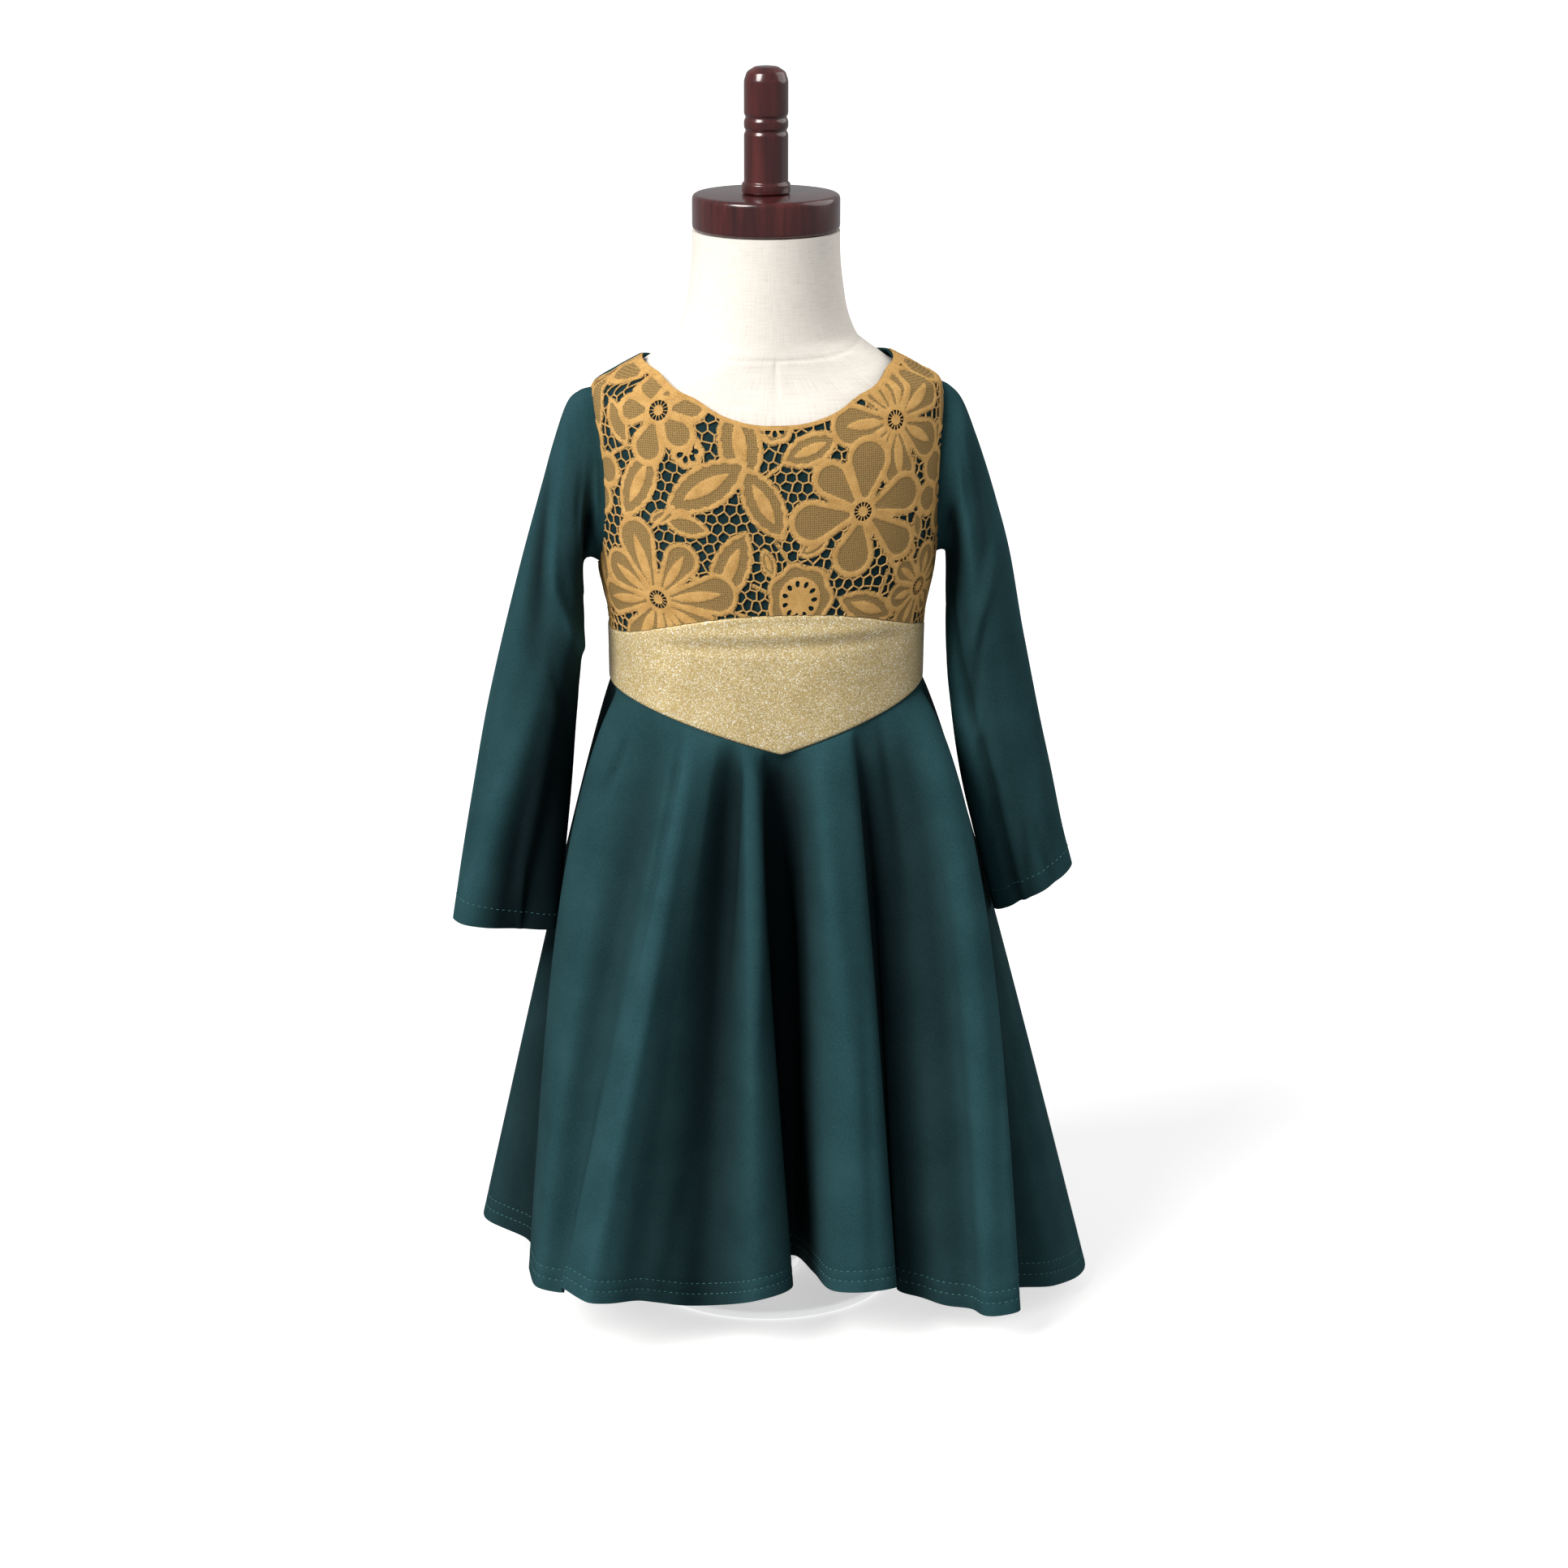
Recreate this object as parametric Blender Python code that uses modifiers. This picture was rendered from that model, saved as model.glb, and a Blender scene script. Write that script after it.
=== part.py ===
"""A child's long-sleeved princess dress on a limbless dress form with a short stand.

Metres, +Z up. The front faces -Y, the wearer's left is +X, and the origin is the middle of
the stand's underside. Cloth pieces are walls, cut as a dressmaker would cut them, with a small
gap along every seam. Tables below are in millimetres, a row for each section, rib or motif.
"""
from math import acos, atan2, copysign, cos, exp, hypot, pi, radians, sin, sqrt

import bmesh
import bpy
import numpy as np
from mathutils import Matrix, Vector

MM = 0.001

# Wall thicknesses and gaps
KNIT_WALL = 1.5 * MM
LACE_WALL = 1.0 * MM
BAND_WALL = 2.0 * MM
SEAM = 0.3 * MM
SKIRT_SEAM = 0.5 * MM
SLEEVE_SEAM = 0.45 * MM
BAND_PROUD = 1.5 * MM
LACE_LIFT = 0.4 * MM

# How far the form lies inside the cloth: height and ease
FORM_EASE = (
    ("hip", 348.0, 9.0),
    ("below_band", 391.0, 5.0),
    ("waist", 429.0, 1.3),
    ("midriff", 504.0, 1.3),
    ("chest", 564.0, 3.2),
    ("shoulder", 619.0, 4.4),
    ("neck_root", 649.0, 1.5),
    ("neck", 677.0, 0.5),
)

# Turn from the centre front at which front and back panels stop, just short of the side
EDGE_TURN = pi / 2 - 0.0014

# Stand
BASE_RADIUS = 85 * MM
BASE_TOP = 6 * MM
HUB_RADIUS = 22 * MM
HUB_TOP = 14 * MM
POST_RADIUS = 12.5 * MM
FORM_BOTTOM = 326 * MM
FORM_TOP = 717.7 * MM
CAP_RADIUS = 47.5 * MM
CAP_BOTTOM = 718 * MM
CAP_TOP = 741 * MM

# Finial above the cap: radius and height of each turned point, from the tip down
FINIAL = (
    ("tip", 0.0, 822.0),
    ("crown", 7.5, 821.2),
    ("shoulder", 12.4, 818.0),
    ("cheek", 14.2, 812.5),
    ("upper_rim", 14.2, 791.5),
    ("upper_groove", 12.9, 789.5),
    ("upper_lip", 14.2, 787.5),
    ("lower_rim", 14.2, 783.0),
    ("lower_groove", 12.9, 781.0),
    ("lower_lip", 14.2, 779.0),
    ("shaft_foot", 14.2, 748.5),
    ("collar_top", 15.6, 747.5),
    ("collar_foot", 15.6, 742.0),
    ("seat_edge", 14.8, 741.3),
    ("seat", 0.0, 741.3),
)

# Heights of the form's rings
FORM_HEIGHTS = (348, 384, 419, 449, 476, 504, 534, 564, 586, 604, 614, 621, 627, 633, 639, 646,
                656, 669, 689)
NECK_TOP = 709 * MM
FORM_SIDES = 36

# Rounded foot of the form: rise from its bottom and share of the ring above
FORM_FOOT = ((0.0, 0.80), (2.5, 0.92), (9.0, 0.985))

# Torso under the cloth: height, half width, half depth, and how square the section is
TORSO = (
    ("below_hip", 304.0, 101.0, 79.0, 2.2),
    ("hip", 391.0, 101.5, 80.5, 2.2),
    ("waist", 424.0, 102.0, 81.0, 2.2),
    ("band_top", 464.0, 102.5, 80.5, 2.3),
    ("underarm", 504.0, 109.5, 80.5, 2.4),
    ("chest", 544.0, 112.0, 79.0, 2.5),
    ("upper_chest", 579.0, 113.5, 74.5, 2.5),
    ("neck_low", 604.0, 114.5, 67.0, 2.5),
    ("shoulder_tip", 619.0, 112.5, 61.0, 2.4),
    ("mid_shoulder", 629.0, 98.0, 57.0, 2.3),
    ("neck_side", 639.0, 79.5, 54.0, 2.2),
    ("neck_root", 654.0, 60.0, 51.5, 2.0),
    ("neck", 677.0, 52.5, 50.0, 2.0),
    ("neck_top", 709.0, 49.5, 49.5, 2.0),
    ("cap_seat", 724.0, 49.5, 49.5, 2.0),
)

# Neckline and armholes: turn from the centre front (or centre back) and height
FRONT_NECKLINE = (
    ("centre", 0.0, 603.0),
    ("inner", 11.0, 607.5),
    ("curve", 25.0, 620.5),
    ("side", 55.0, 634.0),
    ("shoulder", 90.0, 639.0),
)
BACK_NECKLINE = (
    ("centre", 0.0, 625.0),
    ("inner", 20.0, 627.0),
    ("side", 55.0, 634.0),
    ("shoulder", 90.0, 639.0),
)
SHOULDER_TIP = 619 * MM
UNDERARM = 504 * MM
FRONT_ARMHOLE_TURN = radians(20)
BACK_ARMHOLE_TURN = radians(17)
NECK_SHARE = 0.62
NECK_CROWDING = 1.3

# Waistband: height of its lower and upper edges at the side, centre front and centre back
BAND_SIDE_LOW = 424 * MM
BAND_SIDE_HIGH = 461 * MM
BAND_FRONT_LOW = 391 * MM
BAND_FRONT_HIGH = 483 * MM
BAND_BACK_LOW = 424 * MM
BAND_BACK_HIGH = 461 * MM

# Panel grids
HALF_COLUMNS = 8
SIDE_ROWS = 2
ARMHOLE_ROWS = 9
BAND_ROWS = 2
DIAGONAL_BIAS = 1.03

# Sleeves, by row: outer_x, outer_z, inner_x, inner_z, centre_y, half_depth. The outer and inner
# edges are those seen from the front, and x is measured away from the middle on both sides.
SLEEVE_LEFT = (
    ("cap", 121, 614, 116, 506, -1, 34),
    ("crown", 129, 604, 119, 502, -2, 36),
    ("upper", 139, 577, 120, 487, -3, 37),
    ("bicep", 150, 541, 120, 465, -4, 37),
    ("above_elbow", 160, 504, 122, 434, -6, 36),
    ("elbow", 170, 450, 127, 394, -8, 33),
    ("below_elbow", 180, 400, 133, 358, -11, 31),
    ("forearm", 189, 359, 140, 324, -14, 28),
    ("wrist", 197, 320, 146, 293, -17, 25),
    ("cuff", 204.0, 293, 152, 264, -19, 22),
)
SLEEVE_RIGHT = (
    ("cap", 121, 616, 116, 507, 0, 34),
    ("crown", 129, 608, 120, 503, 0, 36),
    ("upper", 138, 583, 120, 486, 0, 37),
    ("bicep", 149, 545, 120, 464, 0, 37),
    ("above_elbow", 161, 502, 122.5, 434, 1, 36),
    ("elbow", 174, 452, 126, 391, 1, 33),
    ("below_elbow", 185, 405, 129, 354, 1, 30),
    ("forearm", 194, 358, 133, 316, 0, 26),
    ("wrist", 203, 308, 137, 282, -1, 23),
    ("cuff", 210, 264, 139.5, 255, -2, 20),
)

# Soft folds on the sleeves: start and end as turn round the sleeve (degrees from the inner
# edge through the front) and share of its length, then height and half width in millimetres
SLEEVE_FOLDS = (
    ("head_gather", 110.0, 0.06, 60.0, 0.26, 2.2, 9.0),
    ("underarm_drag", 30.0, 0.10, 95.0, 0.36, 3.0, 9.0),
    ("elbow_roll", 20.0, 0.52, 120.0, 0.44, 2.6, 10.0),
    ("long_crease", 62.0, 0.40, 80.0, 0.98, 3.0, 8.0),
    ("outer_roll", 150.0, 0.62, 105.0, 0.95, 2.0, 10.0),
    ("back_drag", 330.0, 0.10, 250.0, 0.38, 3.0, 9.0),
    ("back_elbow", 340.0, 0.55, 230.0, 0.47, 2.6, 10.0),
    ("back_crease", 300.0, 0.50, 285.0, 0.97, 2.6, 9.0),
)
FOLD_FADE = 0.12
HEAD_FADE = 0.12
SLEEVE_STEPS = 14
SLEEVE_CROWDING = 0.9
SLEEVE_RADIUS = 32 * MM
SLEEVE_LENGTH = 340 * MM

# Skirt ribs, from the wearer's right side past the front to the left side and round the back:
# turn of the rib at the waist, how far it bellies out between waist and hem, and its hem.
# Hems that lie far in or out of the calm oval make the folds.
# By rib: turn in degrees, belly_x, belly_y, hem_x, hem_y, hem_z.
SKIRT_RIBS = (
    ("right_side", -97, 0, 5, -191, 30, 36),
    ("right_valley", -84, 4, 0, -164, -8, 34),
    ("panel_edge", -72, -18, -4, -168, -80, 42),
    ("panel_front", -58, -8, -8, -164, -112, 43),
    ("under_crest", -44, 2, -6, -150, -120, 42),
    ("crest_edge", -35, 4, -12, -150, -134, 51),
    ("crest", -30, 4, -12, -134, -150, 47),
    ("first_panel", -22, 2, -10, -96, -147, 42),
    ("soft_valley", -16, 0, -2, -56, -125, 30),
    ("middle_ridge", -10, -2, -10, -24, -151, 43),
    ("middle_edge", -6.5, -4, -7, 1, -134, 44),
    ("deep_left", -4, 0, 0, -4, -92, 46),
    ("deep_valley", 0, 2, 2, 10, -74, 41),
    ("deep_right", 4, 0, 0, 18, -112, 44),
    ("fourth_left", 8, 0, -5, 26, -143, 44),
    ("fourth_ridge", 15, 0, -10, 46, -151, 45),
    ("fourth_edge", 23, 0, -10, 68, -141, 43),
    ("second_left", 28, 2, 0, 71, -110, 33),
    ("second_valley", 36, 5, -2, 87, -118, 27),
    ("second_right", 44, 8, -8, 106, -137, 25),
    ("fifth_ridge", 54, 9, -13, 128, -154, 25),
    ("fifth_edge", 66, 14, -12, 149, -150, 26),
    ("left_valley", 72, 4, 0, 151, -104, 22),
    ("left_back_fold", 82, 0, 2, 184, -90, 17),
    ("left_side", 97, 3, 10, 213, -50, 12),
    ("left_rear", 103, 0, 8, 211, -10, 16),
    ("rear_a_valley", 110, 0, 4, 178, 22, 26),
    ("rear_b_front", 117, 4, 6, 190, 62, 28),
    ("rear_b_ridge", 125, 4, 8, 172, 94, 31),
    ("rear_b_valley", 132, 2, 2, 141, 88, 38),
    ("rear_c_front", 139, 2, 8, 144, 124, 35),
    ("rear_c_ridge", 147, 2, 10, 116, 146, 35),
    ("rear_c_valley", 154, 0, 2, 92, 114, 40),
    ("rear_d_front", 161, 0, 8, 76, 150, 37),
    ("rear_d_ridge", 168, 0, 10, 42, 164, 37),
    ("centre_valley", 176, 0, 2, 22, 124, 42),
    ("rear_e_front", 183, 0, 8, -2, 156, 38),
    ("rear_e_ridge", 191, 0, 10, -38, 166, 37),
    ("rear_e_valley", 198, 0, 2, -60, 124, 41),
    ("rear_f_front", 206, 0, 8, -84, 152, 36),
    ("rear_f_ridge", 214, -2, 10, -118, 144, 35),
    ("rear_f_valley", 222, -2, 2, -132, 102, 39),
    ("rear_g_front", 231, -4, 6, -160, 112, 35),
    ("rear_g_ridge", 245, -2, 4, -182, 76, 34),
)
CALM_HEM_HALF_WIDTH = 186 * MM
CALM_HEM_HALF_DEPTH = 133 * MM
FOLD_START = 0.78
BELLY_START = 0.6
SKIRT_ROWS = 11
SKIRT_CROWDING = 1.15
RIB_STEPS = 2

# Lace motifs on the unrolled front, placed by distance from the centre front and by height.
# By flower: across, up, petals, reach, petal half width, turn of the first petal.
LACE_FLOWERS = (
    ("breast_flower", 53, 548, 6, 46, 14.5, 16),
    ("left_shoulder_flower", 76, 603, 7, 44, 13, 24),
    ("waist_flower", -84, 492, 8, 50, 13.5, 12),
    ("right_shoulder_flower", -76, 612, 6, 33, 11.5, 8),
    ("left_side_flower", 122, 553, 5, 30, 12.5, 52),
    ("right_side_flower", -134, 568, 5, 31, 12, 20),
    ("left_low_flower", 104, 493, 6, 30, 10.5, 75),
)
# By leaf: across, up, half length, half width, lean.
LACE_LEAVES = (
    ("throat_leaf", -25, 592, 28, 14.5, 96),
    ("chest_leaf", -47, 566, 31, 14.5, 30),
    ("heart_leaf", -11, 555, 27, 13, 118),
    ("armhole_leaf", -92, 566, 27, 12.5, 62),
    ("neck_leaf", 19, 588, 21, 10.5, 22),
    ("low_right_leaf", -34, 514, 28, 13, 64),
    ("under_leaf", -60, 541, 16, 7.5, 165),
    ("low_left_leaf", 62, 485, 24, 11, 160),
    ("left_side_leaf", 143, 512, 24, 11, 80),
    ("right_low_leaf", -137, 506, 28, 13, 96),
    ("collar_leaf", 38, 620, 18, 8, 118),
    ("left_arm_leaf", 110, 586, 17, 8.5, 50),
    ("right_arm_leaf", -106, 603, 17, 8.5, 120),
)
# By rosette: across, up, radius.
LACE_ROSETTES = (
    ("low_rosette", 13, 493, 24),
    ("side_rosette", 84, 518, 12),
    ("neck_rosette", -3, 604, 13),
    ("right_rosette", -58, 588, 11),
)
HOLE_PITCH = 9.0 * MM
HOLE_RADIUS = 2.9 * MM
HOLE_SIDES = 6
HOLE_VARIATION = 0.12
HOLES_EACH_WAY = 18
FLOWER_EYE = 8.0 * MM
MOTIF_MARGIN = 1.0 * MM
EDGE_MARGIN = 7.0 * MM
NECK_MARGIN = 8.4 * MM
ARMHOLE_MARGIN = radians(9)
LACE_LEVEL = 544 * MM
HOLE_TURN_LIMIT = radians(78)


def clear_scene():
    """Start from an empty scene."""
    for item in list(bpy.data.objects):
        bpy.data.objects.remove(item, do_unlink=True)


def new_collection(name):
    """A collection linked to the scene."""
    collection = bpy.data.collections.new(name)
    bpy.context.scene.collection.children.link(collection)
    return collection


def new_material(name, colour, roughness, metallic=0.0, sheen=0.0):
    """A plain Principled material."""
    material = bpy.data.materials.new(name)
    material.use_nodes = True
    shader = material.node_tree.nodes["Principled BSDF"]
    shader.inputs["Base Color"].default_value = (*colour, 1.0)
    shader.inputs["Roughness"].default_value = roughness
    shader.inputs["Metallic"].default_value = metallic
    shader.inputs["Sheen Weight"].default_value = sheen
    return material


def new_object(name, mesh, collection, material):
    """An object for a mesh, in its collection and with its material."""
    item = bpy.data.objects.new(name, mesh)
    collection.objects.link(item)
    mesh.materials.append(material)
    return item


def column(table, place):
    """One column of a table whose first column is a name."""
    return np.array([row[place] for row in table], dtype=float)


def smooth(places, values, place):
    """Value at a place on a smooth curve through a table's points, without overshoot."""
    slopes = np.diff(values) / np.diff(places)
    last = len(slopes) - 1
    span = int(min(max(np.searchsorted(places, place) - 1, 0), last))

    def tangent(index):
        if index == 0:
            return slopes[0]
        if index > last:
            return slopes[last]
        before, after = slopes[index - 1], slopes[index]
        return 0.0 if before * after <= 0 else 2 * before * after / (before + after)

    width = places[span + 1] - places[span]
    t = min(max((place - places[span]) / width, 0.0), 1.0)
    start, end = values[span], values[span + 1]
    blend = t * t * (3 - 2 * t)
    lean_in = width * tangent(span) * t * (1 - t) ** 2
    lean_out = width * tangent(span + 1) * t * t * (1 - t)
    return start + (end - start) * blend + lean_in - lean_out


def torso_section(height):
    """Half width, half depth and squareness of the torso at a height."""
    heights = column(TORSO, 1)
    at = height / MM
    half_width = smooth(heights, column(TORSO, 2), at) * MM
    half_depth = smooth(heights, column(TORSO, 3), at) * MM
    return half_width, half_depth, smooth(heights, column(TORSO, 4), at)


def torso_point(turn, height):
    """Point on the torso at a turn from the centre front towards the wearer's left."""
    half_width, half_depth, square = torso_section(height)
    side, front = sin(turn), cos(turn)
    x = half_width * copysign(abs(side) ** (2 / square), side)
    y = -half_depth * copysign(abs(front) ** (2 / square), front)
    return Vector((x, y, height))


def torso_normal(turn, height):
    """Outward direction of the torso at a turn and height."""
    step, rise = 0.01, 0.5 * MM
    across = torso_point(turn + step, height) - torso_point(turn - step, height)
    up = torso_point(turn, height + rise) - torso_point(turn, height - rise)
    return across.cross(up).normalized()


def on_torso(turn, height, out=0.0):
    """Point a given distance outside the torso."""
    return torso_point(turn, height) + torso_normal(turn, height) * out


def band_edge(turn, side, front, back, sag):
    """Height of a waistband edge that runs from the side to the centre front or back."""
    share = abs(sin(turn)) ** sag
    centre = front if cos(turn) >= 0 else back
    return centre + (side - centre) * share


def band_low(turn):
    """Height of the waistband's lower edge: a straight V in front, level behind."""
    return band_edge(turn, BAND_SIDE_LOW, BAND_FRONT_LOW, BAND_BACK_LOW, 0.95)


def band_high(turn):
    """Height of the waistband's upper edge, which rises to the centre front."""
    return band_edge(turn, BAND_SIDE_HIGH, BAND_FRONT_HIGH, BAND_BACK_HIGH, 2.0)


def build_wall_mesh(name, outer, inner, closed):
    """A cloth wall between two grids of points, with its rim closed and its faces outward."""
    rows, columns = len(outer), len(outer[0])
    spans = columns if closed else columns - 1
    wall = bmesh.new()
    skins = [[[wall.verts.new(point) for point in row] for row in grid] for grid in (outer, inner)]

    def quad(a, b, c, d, split=True):
        if split:
            wall.faces.new((a, b, c))
            wall.faces.new((a, c, d))
        else:
            wall.faces.new((a, b, d))
            wall.faces.new((b, c, d))

    for row in range(rows - 1):
        for spot in range(spans):
            after = (spot + 1) % columns
            first = (outer[row][spot] - outer[row + 1][after]).length
            second = (outer[row][after] - outer[row + 1][spot]).length
            for skin in skins:
                quad(skin[row][spot], skin[row][after], skin[row + 1][after],
                     skin[row + 1][spot], split=first < second * DIAGONAL_BIAS)
    out, back = skins
    for row in (0, rows - 1):
        for spot in range(spans):
            after = (spot + 1) % columns
            quad(out[row][spot], out[row][after], back[row][after], back[row][spot])
    if not closed:
        for spot in (0, columns - 1):
            for row in range(rows - 1):
                quad(out[row][spot], out[row + 1][spot], back[row + 1][spot], back[row][spot])
    bmesh.ops.recalc_face_normals(wall, faces=wall.faces)
    mesh = bpy.data.meshes.new(name)
    wall.to_mesh(mesh)
    wall.free()
    mesh.shade_smooth()
    return mesh


def grid_normals(grid):
    """Outward directions at the points of a closed grid whose rows run round the Z axis."""
    rows, columns = len(grid), len(grid[0])
    normals = []
    for row in range(rows):
        line = []
        for spot in range(columns):
            across = grid[row][(spot + 1) % columns] - grid[row][spot - 1]
            up = grid[max(row - 1, 0)][spot] - grid[min(row + 1, rows - 1)][spot]
            line.append(across.cross(up).normalized())
        normals.append(line)
    return normals


def neckline(table, share):
    """Turn and height on a neckline, by share of the way from its centre to the shoulder."""
    turn = share * EDGE_TURN
    height = smooth(np.radians(column(table, 1)) ** 2, column(table, 2), turn ** 2) * MM
    return turn, height


def panel_edges(table, armhole_turn, bottom):
    """The four edges of half a bodice panel, each from a share to a turn and a height."""
    side_share = SIDE_ROWS / (SIDE_ROWS + ARMHOLE_ROWS)
    waist_side = bottom(EDGE_TURN)
    neck_side = neckline(table, 1.0)[1]
    centre_low, centre_high = bottom(0.0), neckline(table, 0.0)[1]

    def low(u):
        return np.array((u * EDGE_TURN, bottom(u * EDGE_TURN)))

    def top(u):
        if u <= NECK_SHARE:
            return np.array(neckline(table, (u / NECK_SHARE) ** NECK_CROWDING))
        along = (u - NECK_SHARE) / (1 - NECK_SHARE)
        return np.array((EDGE_TURN, neck_side + (SHOULDER_TIP - neck_side) * along))

    def centre(v):
        return np.array((0.0, centre_low + (centre_high - centre_low) * v))

    def side(v):
        if v <= side_share:
            return np.array((EDGE_TURN, waist_side + (UNDERARM - waist_side) * v / side_share))
        swing = pi * (v - side_share) / (1 - side_share)
        middle, reach = (UNDERARM + SHOULDER_TIP) / 2, (SHOULDER_TIP - UNDERARM) / 2
        return np.array((EDGE_TURN - armhole_turn * sin(swing), middle - reach * cos(swing)))

    return low, top, centre, side


def half_panel(table, armhole_turn, bottom):
    """Turns and heights of half a bodice panel, blended from its four edges."""
    low, top, centre, side = panel_edges(table, armhole_turn, bottom)
    rows = SIDE_ROWS + ARMHOLE_ROWS
    grid = []
    for row in range(rows + 1):
        v = row / rows
        line = []
        for spot in range(HALF_COLUMNS + 1):
            u = spot / HALF_COLUMNS
            across = (1 - v) * low(u) + v * top(u)
            along = (1 - u) * centre(v) + u * side(v)
            corners = (1 - u) * ((1 - v) * low(0) + v * top(0)) + u * ((1 - v) * low(1) + v * top(1))
            line.append(across + along - corners)
        grid.append(line)
    return grid


def front_bottom(turn):
    return band_high(turn) + SEAM


def back_bottom(turn):
    return band_high(pi - turn) + SEAM


def front_panel_places():
    """Turns and heights of the whole bodice front, from the wearer's right to the left."""
    half = half_panel(FRONT_NECKLINE, FRONT_ARMHOLE_TURN, front_bottom)
    return [[(-turn, height) for turn, height in reversed(line[1:])] + [tuple(p) for p in line]
            for line in half]


def back_panel_places():
    """Turns and heights of the whole bodice back, from the wearer's left to the right."""
    half = half_panel(BACK_NECKLINE, BACK_ARMHOLE_TURN, back_bottom)
    return [[(pi - turn, height) for turn, height in reversed(line[1:])]
            + [(pi + turn, height) for turn, height in line] for line in half]


def build_bodice(name, places, collection, material):
    """A knit bodice panel, its wall inside the torso line."""
    outer = [[on_torso(turn, height) for turn, height in line] for line in places]
    inner = [[on_torso(turn, height, -KNIT_WALL) for turn, height in line] for line in places]
    return new_object(name, build_wall_mesh(name, outer, inner, closed=False), collection, material)


def girth_table():
    """Turns round the front and the unrolled distance of each from the centre front."""
    turns = np.linspace(0, pi / 2, 181)
    points = [torso_point(turn, LACE_LEVEL) for turn in turns]
    steps = [0.0] + [(b - a).length for a, b in zip(points, points[1:])]
    return turns, np.cumsum(steps)


def turn_of_girth(distance):
    """Turn at an unrolled distance from the centre front."""
    turns, girths = girth_table()
    return copysign(float(np.interp(abs(distance), girths, turns)), distance)


def in_ellipse(distance, height, centre, half_length, half_width, lean, margin):
    """Whether a place on the unrolled front lies in a leaf or petal, with a margin."""
    across, up = distance - centre[0], height - centre[1]
    along = across * cos(lean) + up * sin(lean)
    aside = -across * sin(lean) + up * cos(lean)
    return hypot(along / (half_length + margin), aside / (half_width + margin)) < 1


def lace_solid_at(distance, height):
    """Whether a petal, flower eye, leaf or rosette covers a place on the unrolled front."""
    for _, across, up, petals, reach, half_width, start in LACE_FLOWERS:
        middle = (across * MM, up * MM)
        if hypot(distance - middle[0], height - middle[1]) < FLOWER_EYE:
            return True
        half_length = reach * MM / 2
        for petal in range(petals):
            lean = radians(start) + petal * 2 * pi / petals
            centre = (middle[0] + cos(lean) * half_length, middle[1] + sin(lean) * half_length)
            if in_ellipse(distance, height, centre, half_length, half_width * MM, lean, MOTIF_MARGIN):
                return True
    for _, across, up, half_length, half_width, lean in LACE_LEAVES:
        if in_ellipse(distance, height, (across * MM, up * MM), half_length * MM, half_width * MM,
                      radians(lean), MOTIF_MARGIN):
            return True
    for _, across, up, radius in LACE_ROSETTES:
        if hypot(distance - across * MM, height - up * MM) < radius * MM + MOTIF_MARGIN:
            return True
    return False


def inside_front(turn, height):
    """Whether a hole here stays inside the front panel's edges by the margin."""
    if height < band_high(turn) + EDGE_MARGIN or abs(turn) > HOLE_TURN_LIMIT:
        return False
    if height > neckline(FRONT_NECKLINE, abs(turn) / EDGE_TURN)[1] - NECK_MARGIN:
        return False
    if height > UNDERARM - EDGE_MARGIN:
        middle, reach = (UNDERARM + SHOULDER_TIP) / 2, (SHOULDER_TIP - UNDERARM) / 2
        swing = acos(min(max((middle - height) / reach, -1), 1))
        if abs(turn) > EDGE_TURN - FRONT_ARMHOLE_TURN * sin(swing) - ARMHOLE_MARGIN:
            return False
    return True


def lace_holes():
    """Unrolled places of the holes in the open ground between the motifs."""
    places = []
    row_rise = HOLE_PITCH * sqrt(3) / 2
    first, last = int(BAND_SIDE_LOW / row_rise), int(FORM_TOP / row_rise)
    for row in range(first, last):
        for spot in range(-HOLES_EACH_WAY, HOLES_EACH_WAY + 1):
            distance = (spot + 0.5 * (row % 2)) * HOLE_PITCH
            height = row * row_rise
            turn = turn_of_girth(distance)
            if inside_front(turn, height) and not lace_solid_at(distance, height):
                places.append((distance, height))
    return places


def build_lace_cutter(collection):
    """One mesh of short prisms, one across each hole."""
    mesh = bpy.data.meshes.new("lace_cutter")
    cutter = bmesh.new()
    for index, (distance, height) in enumerate(lace_holes()):
        turn = turn_of_girth(distance)
        centre = on_torso(turn, height)
        outward = torso_normal(turn, height)
        radius = HOLE_RADIUS * (1 + HOLE_VARIATION * sin(index * 2.4))
        place = Matrix.Translation(centre) @ outward.to_track_quat("Z", "Y").to_matrix().to_4x4()
        bmesh.ops.create_cone(cutter, cap_ends=True, segments=HOLE_SIDES, radius1=radius,
                              radius2=radius, depth=8 * MM, matrix=place)
    cutter.to_mesh(mesh)
    cutter.free()
    item = bpy.data.objects.new("lace_cutter", mesh)
    collection.objects.link(item)
    item.hide_render = True
    item.display_type = "WIRE"
    return item


def build_lace(places, collection, cutters, material):
    """The lace overlay: the front panel's points moved out, with its largest holes cut."""
    top = LACE_LIFT + LACE_WALL
    outer = [[on_torso(turn, height, top) for turn, height in line] for line in places]
    inner = [[on_torso(turn, height, LACE_LIFT) for turn, height in line] for line in places]
    mesh = build_wall_mesh("lace_front", outer, inner, closed=False)
    item = new_object("lace_front", mesh, collection, material)
    cut = item.modifiers.new("holes", "BOOLEAN")
    cut.operation = "DIFFERENCE"
    cut.solver = "EXACT"
    cut.object = build_lace_cutter(cutters)
    return item


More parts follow.
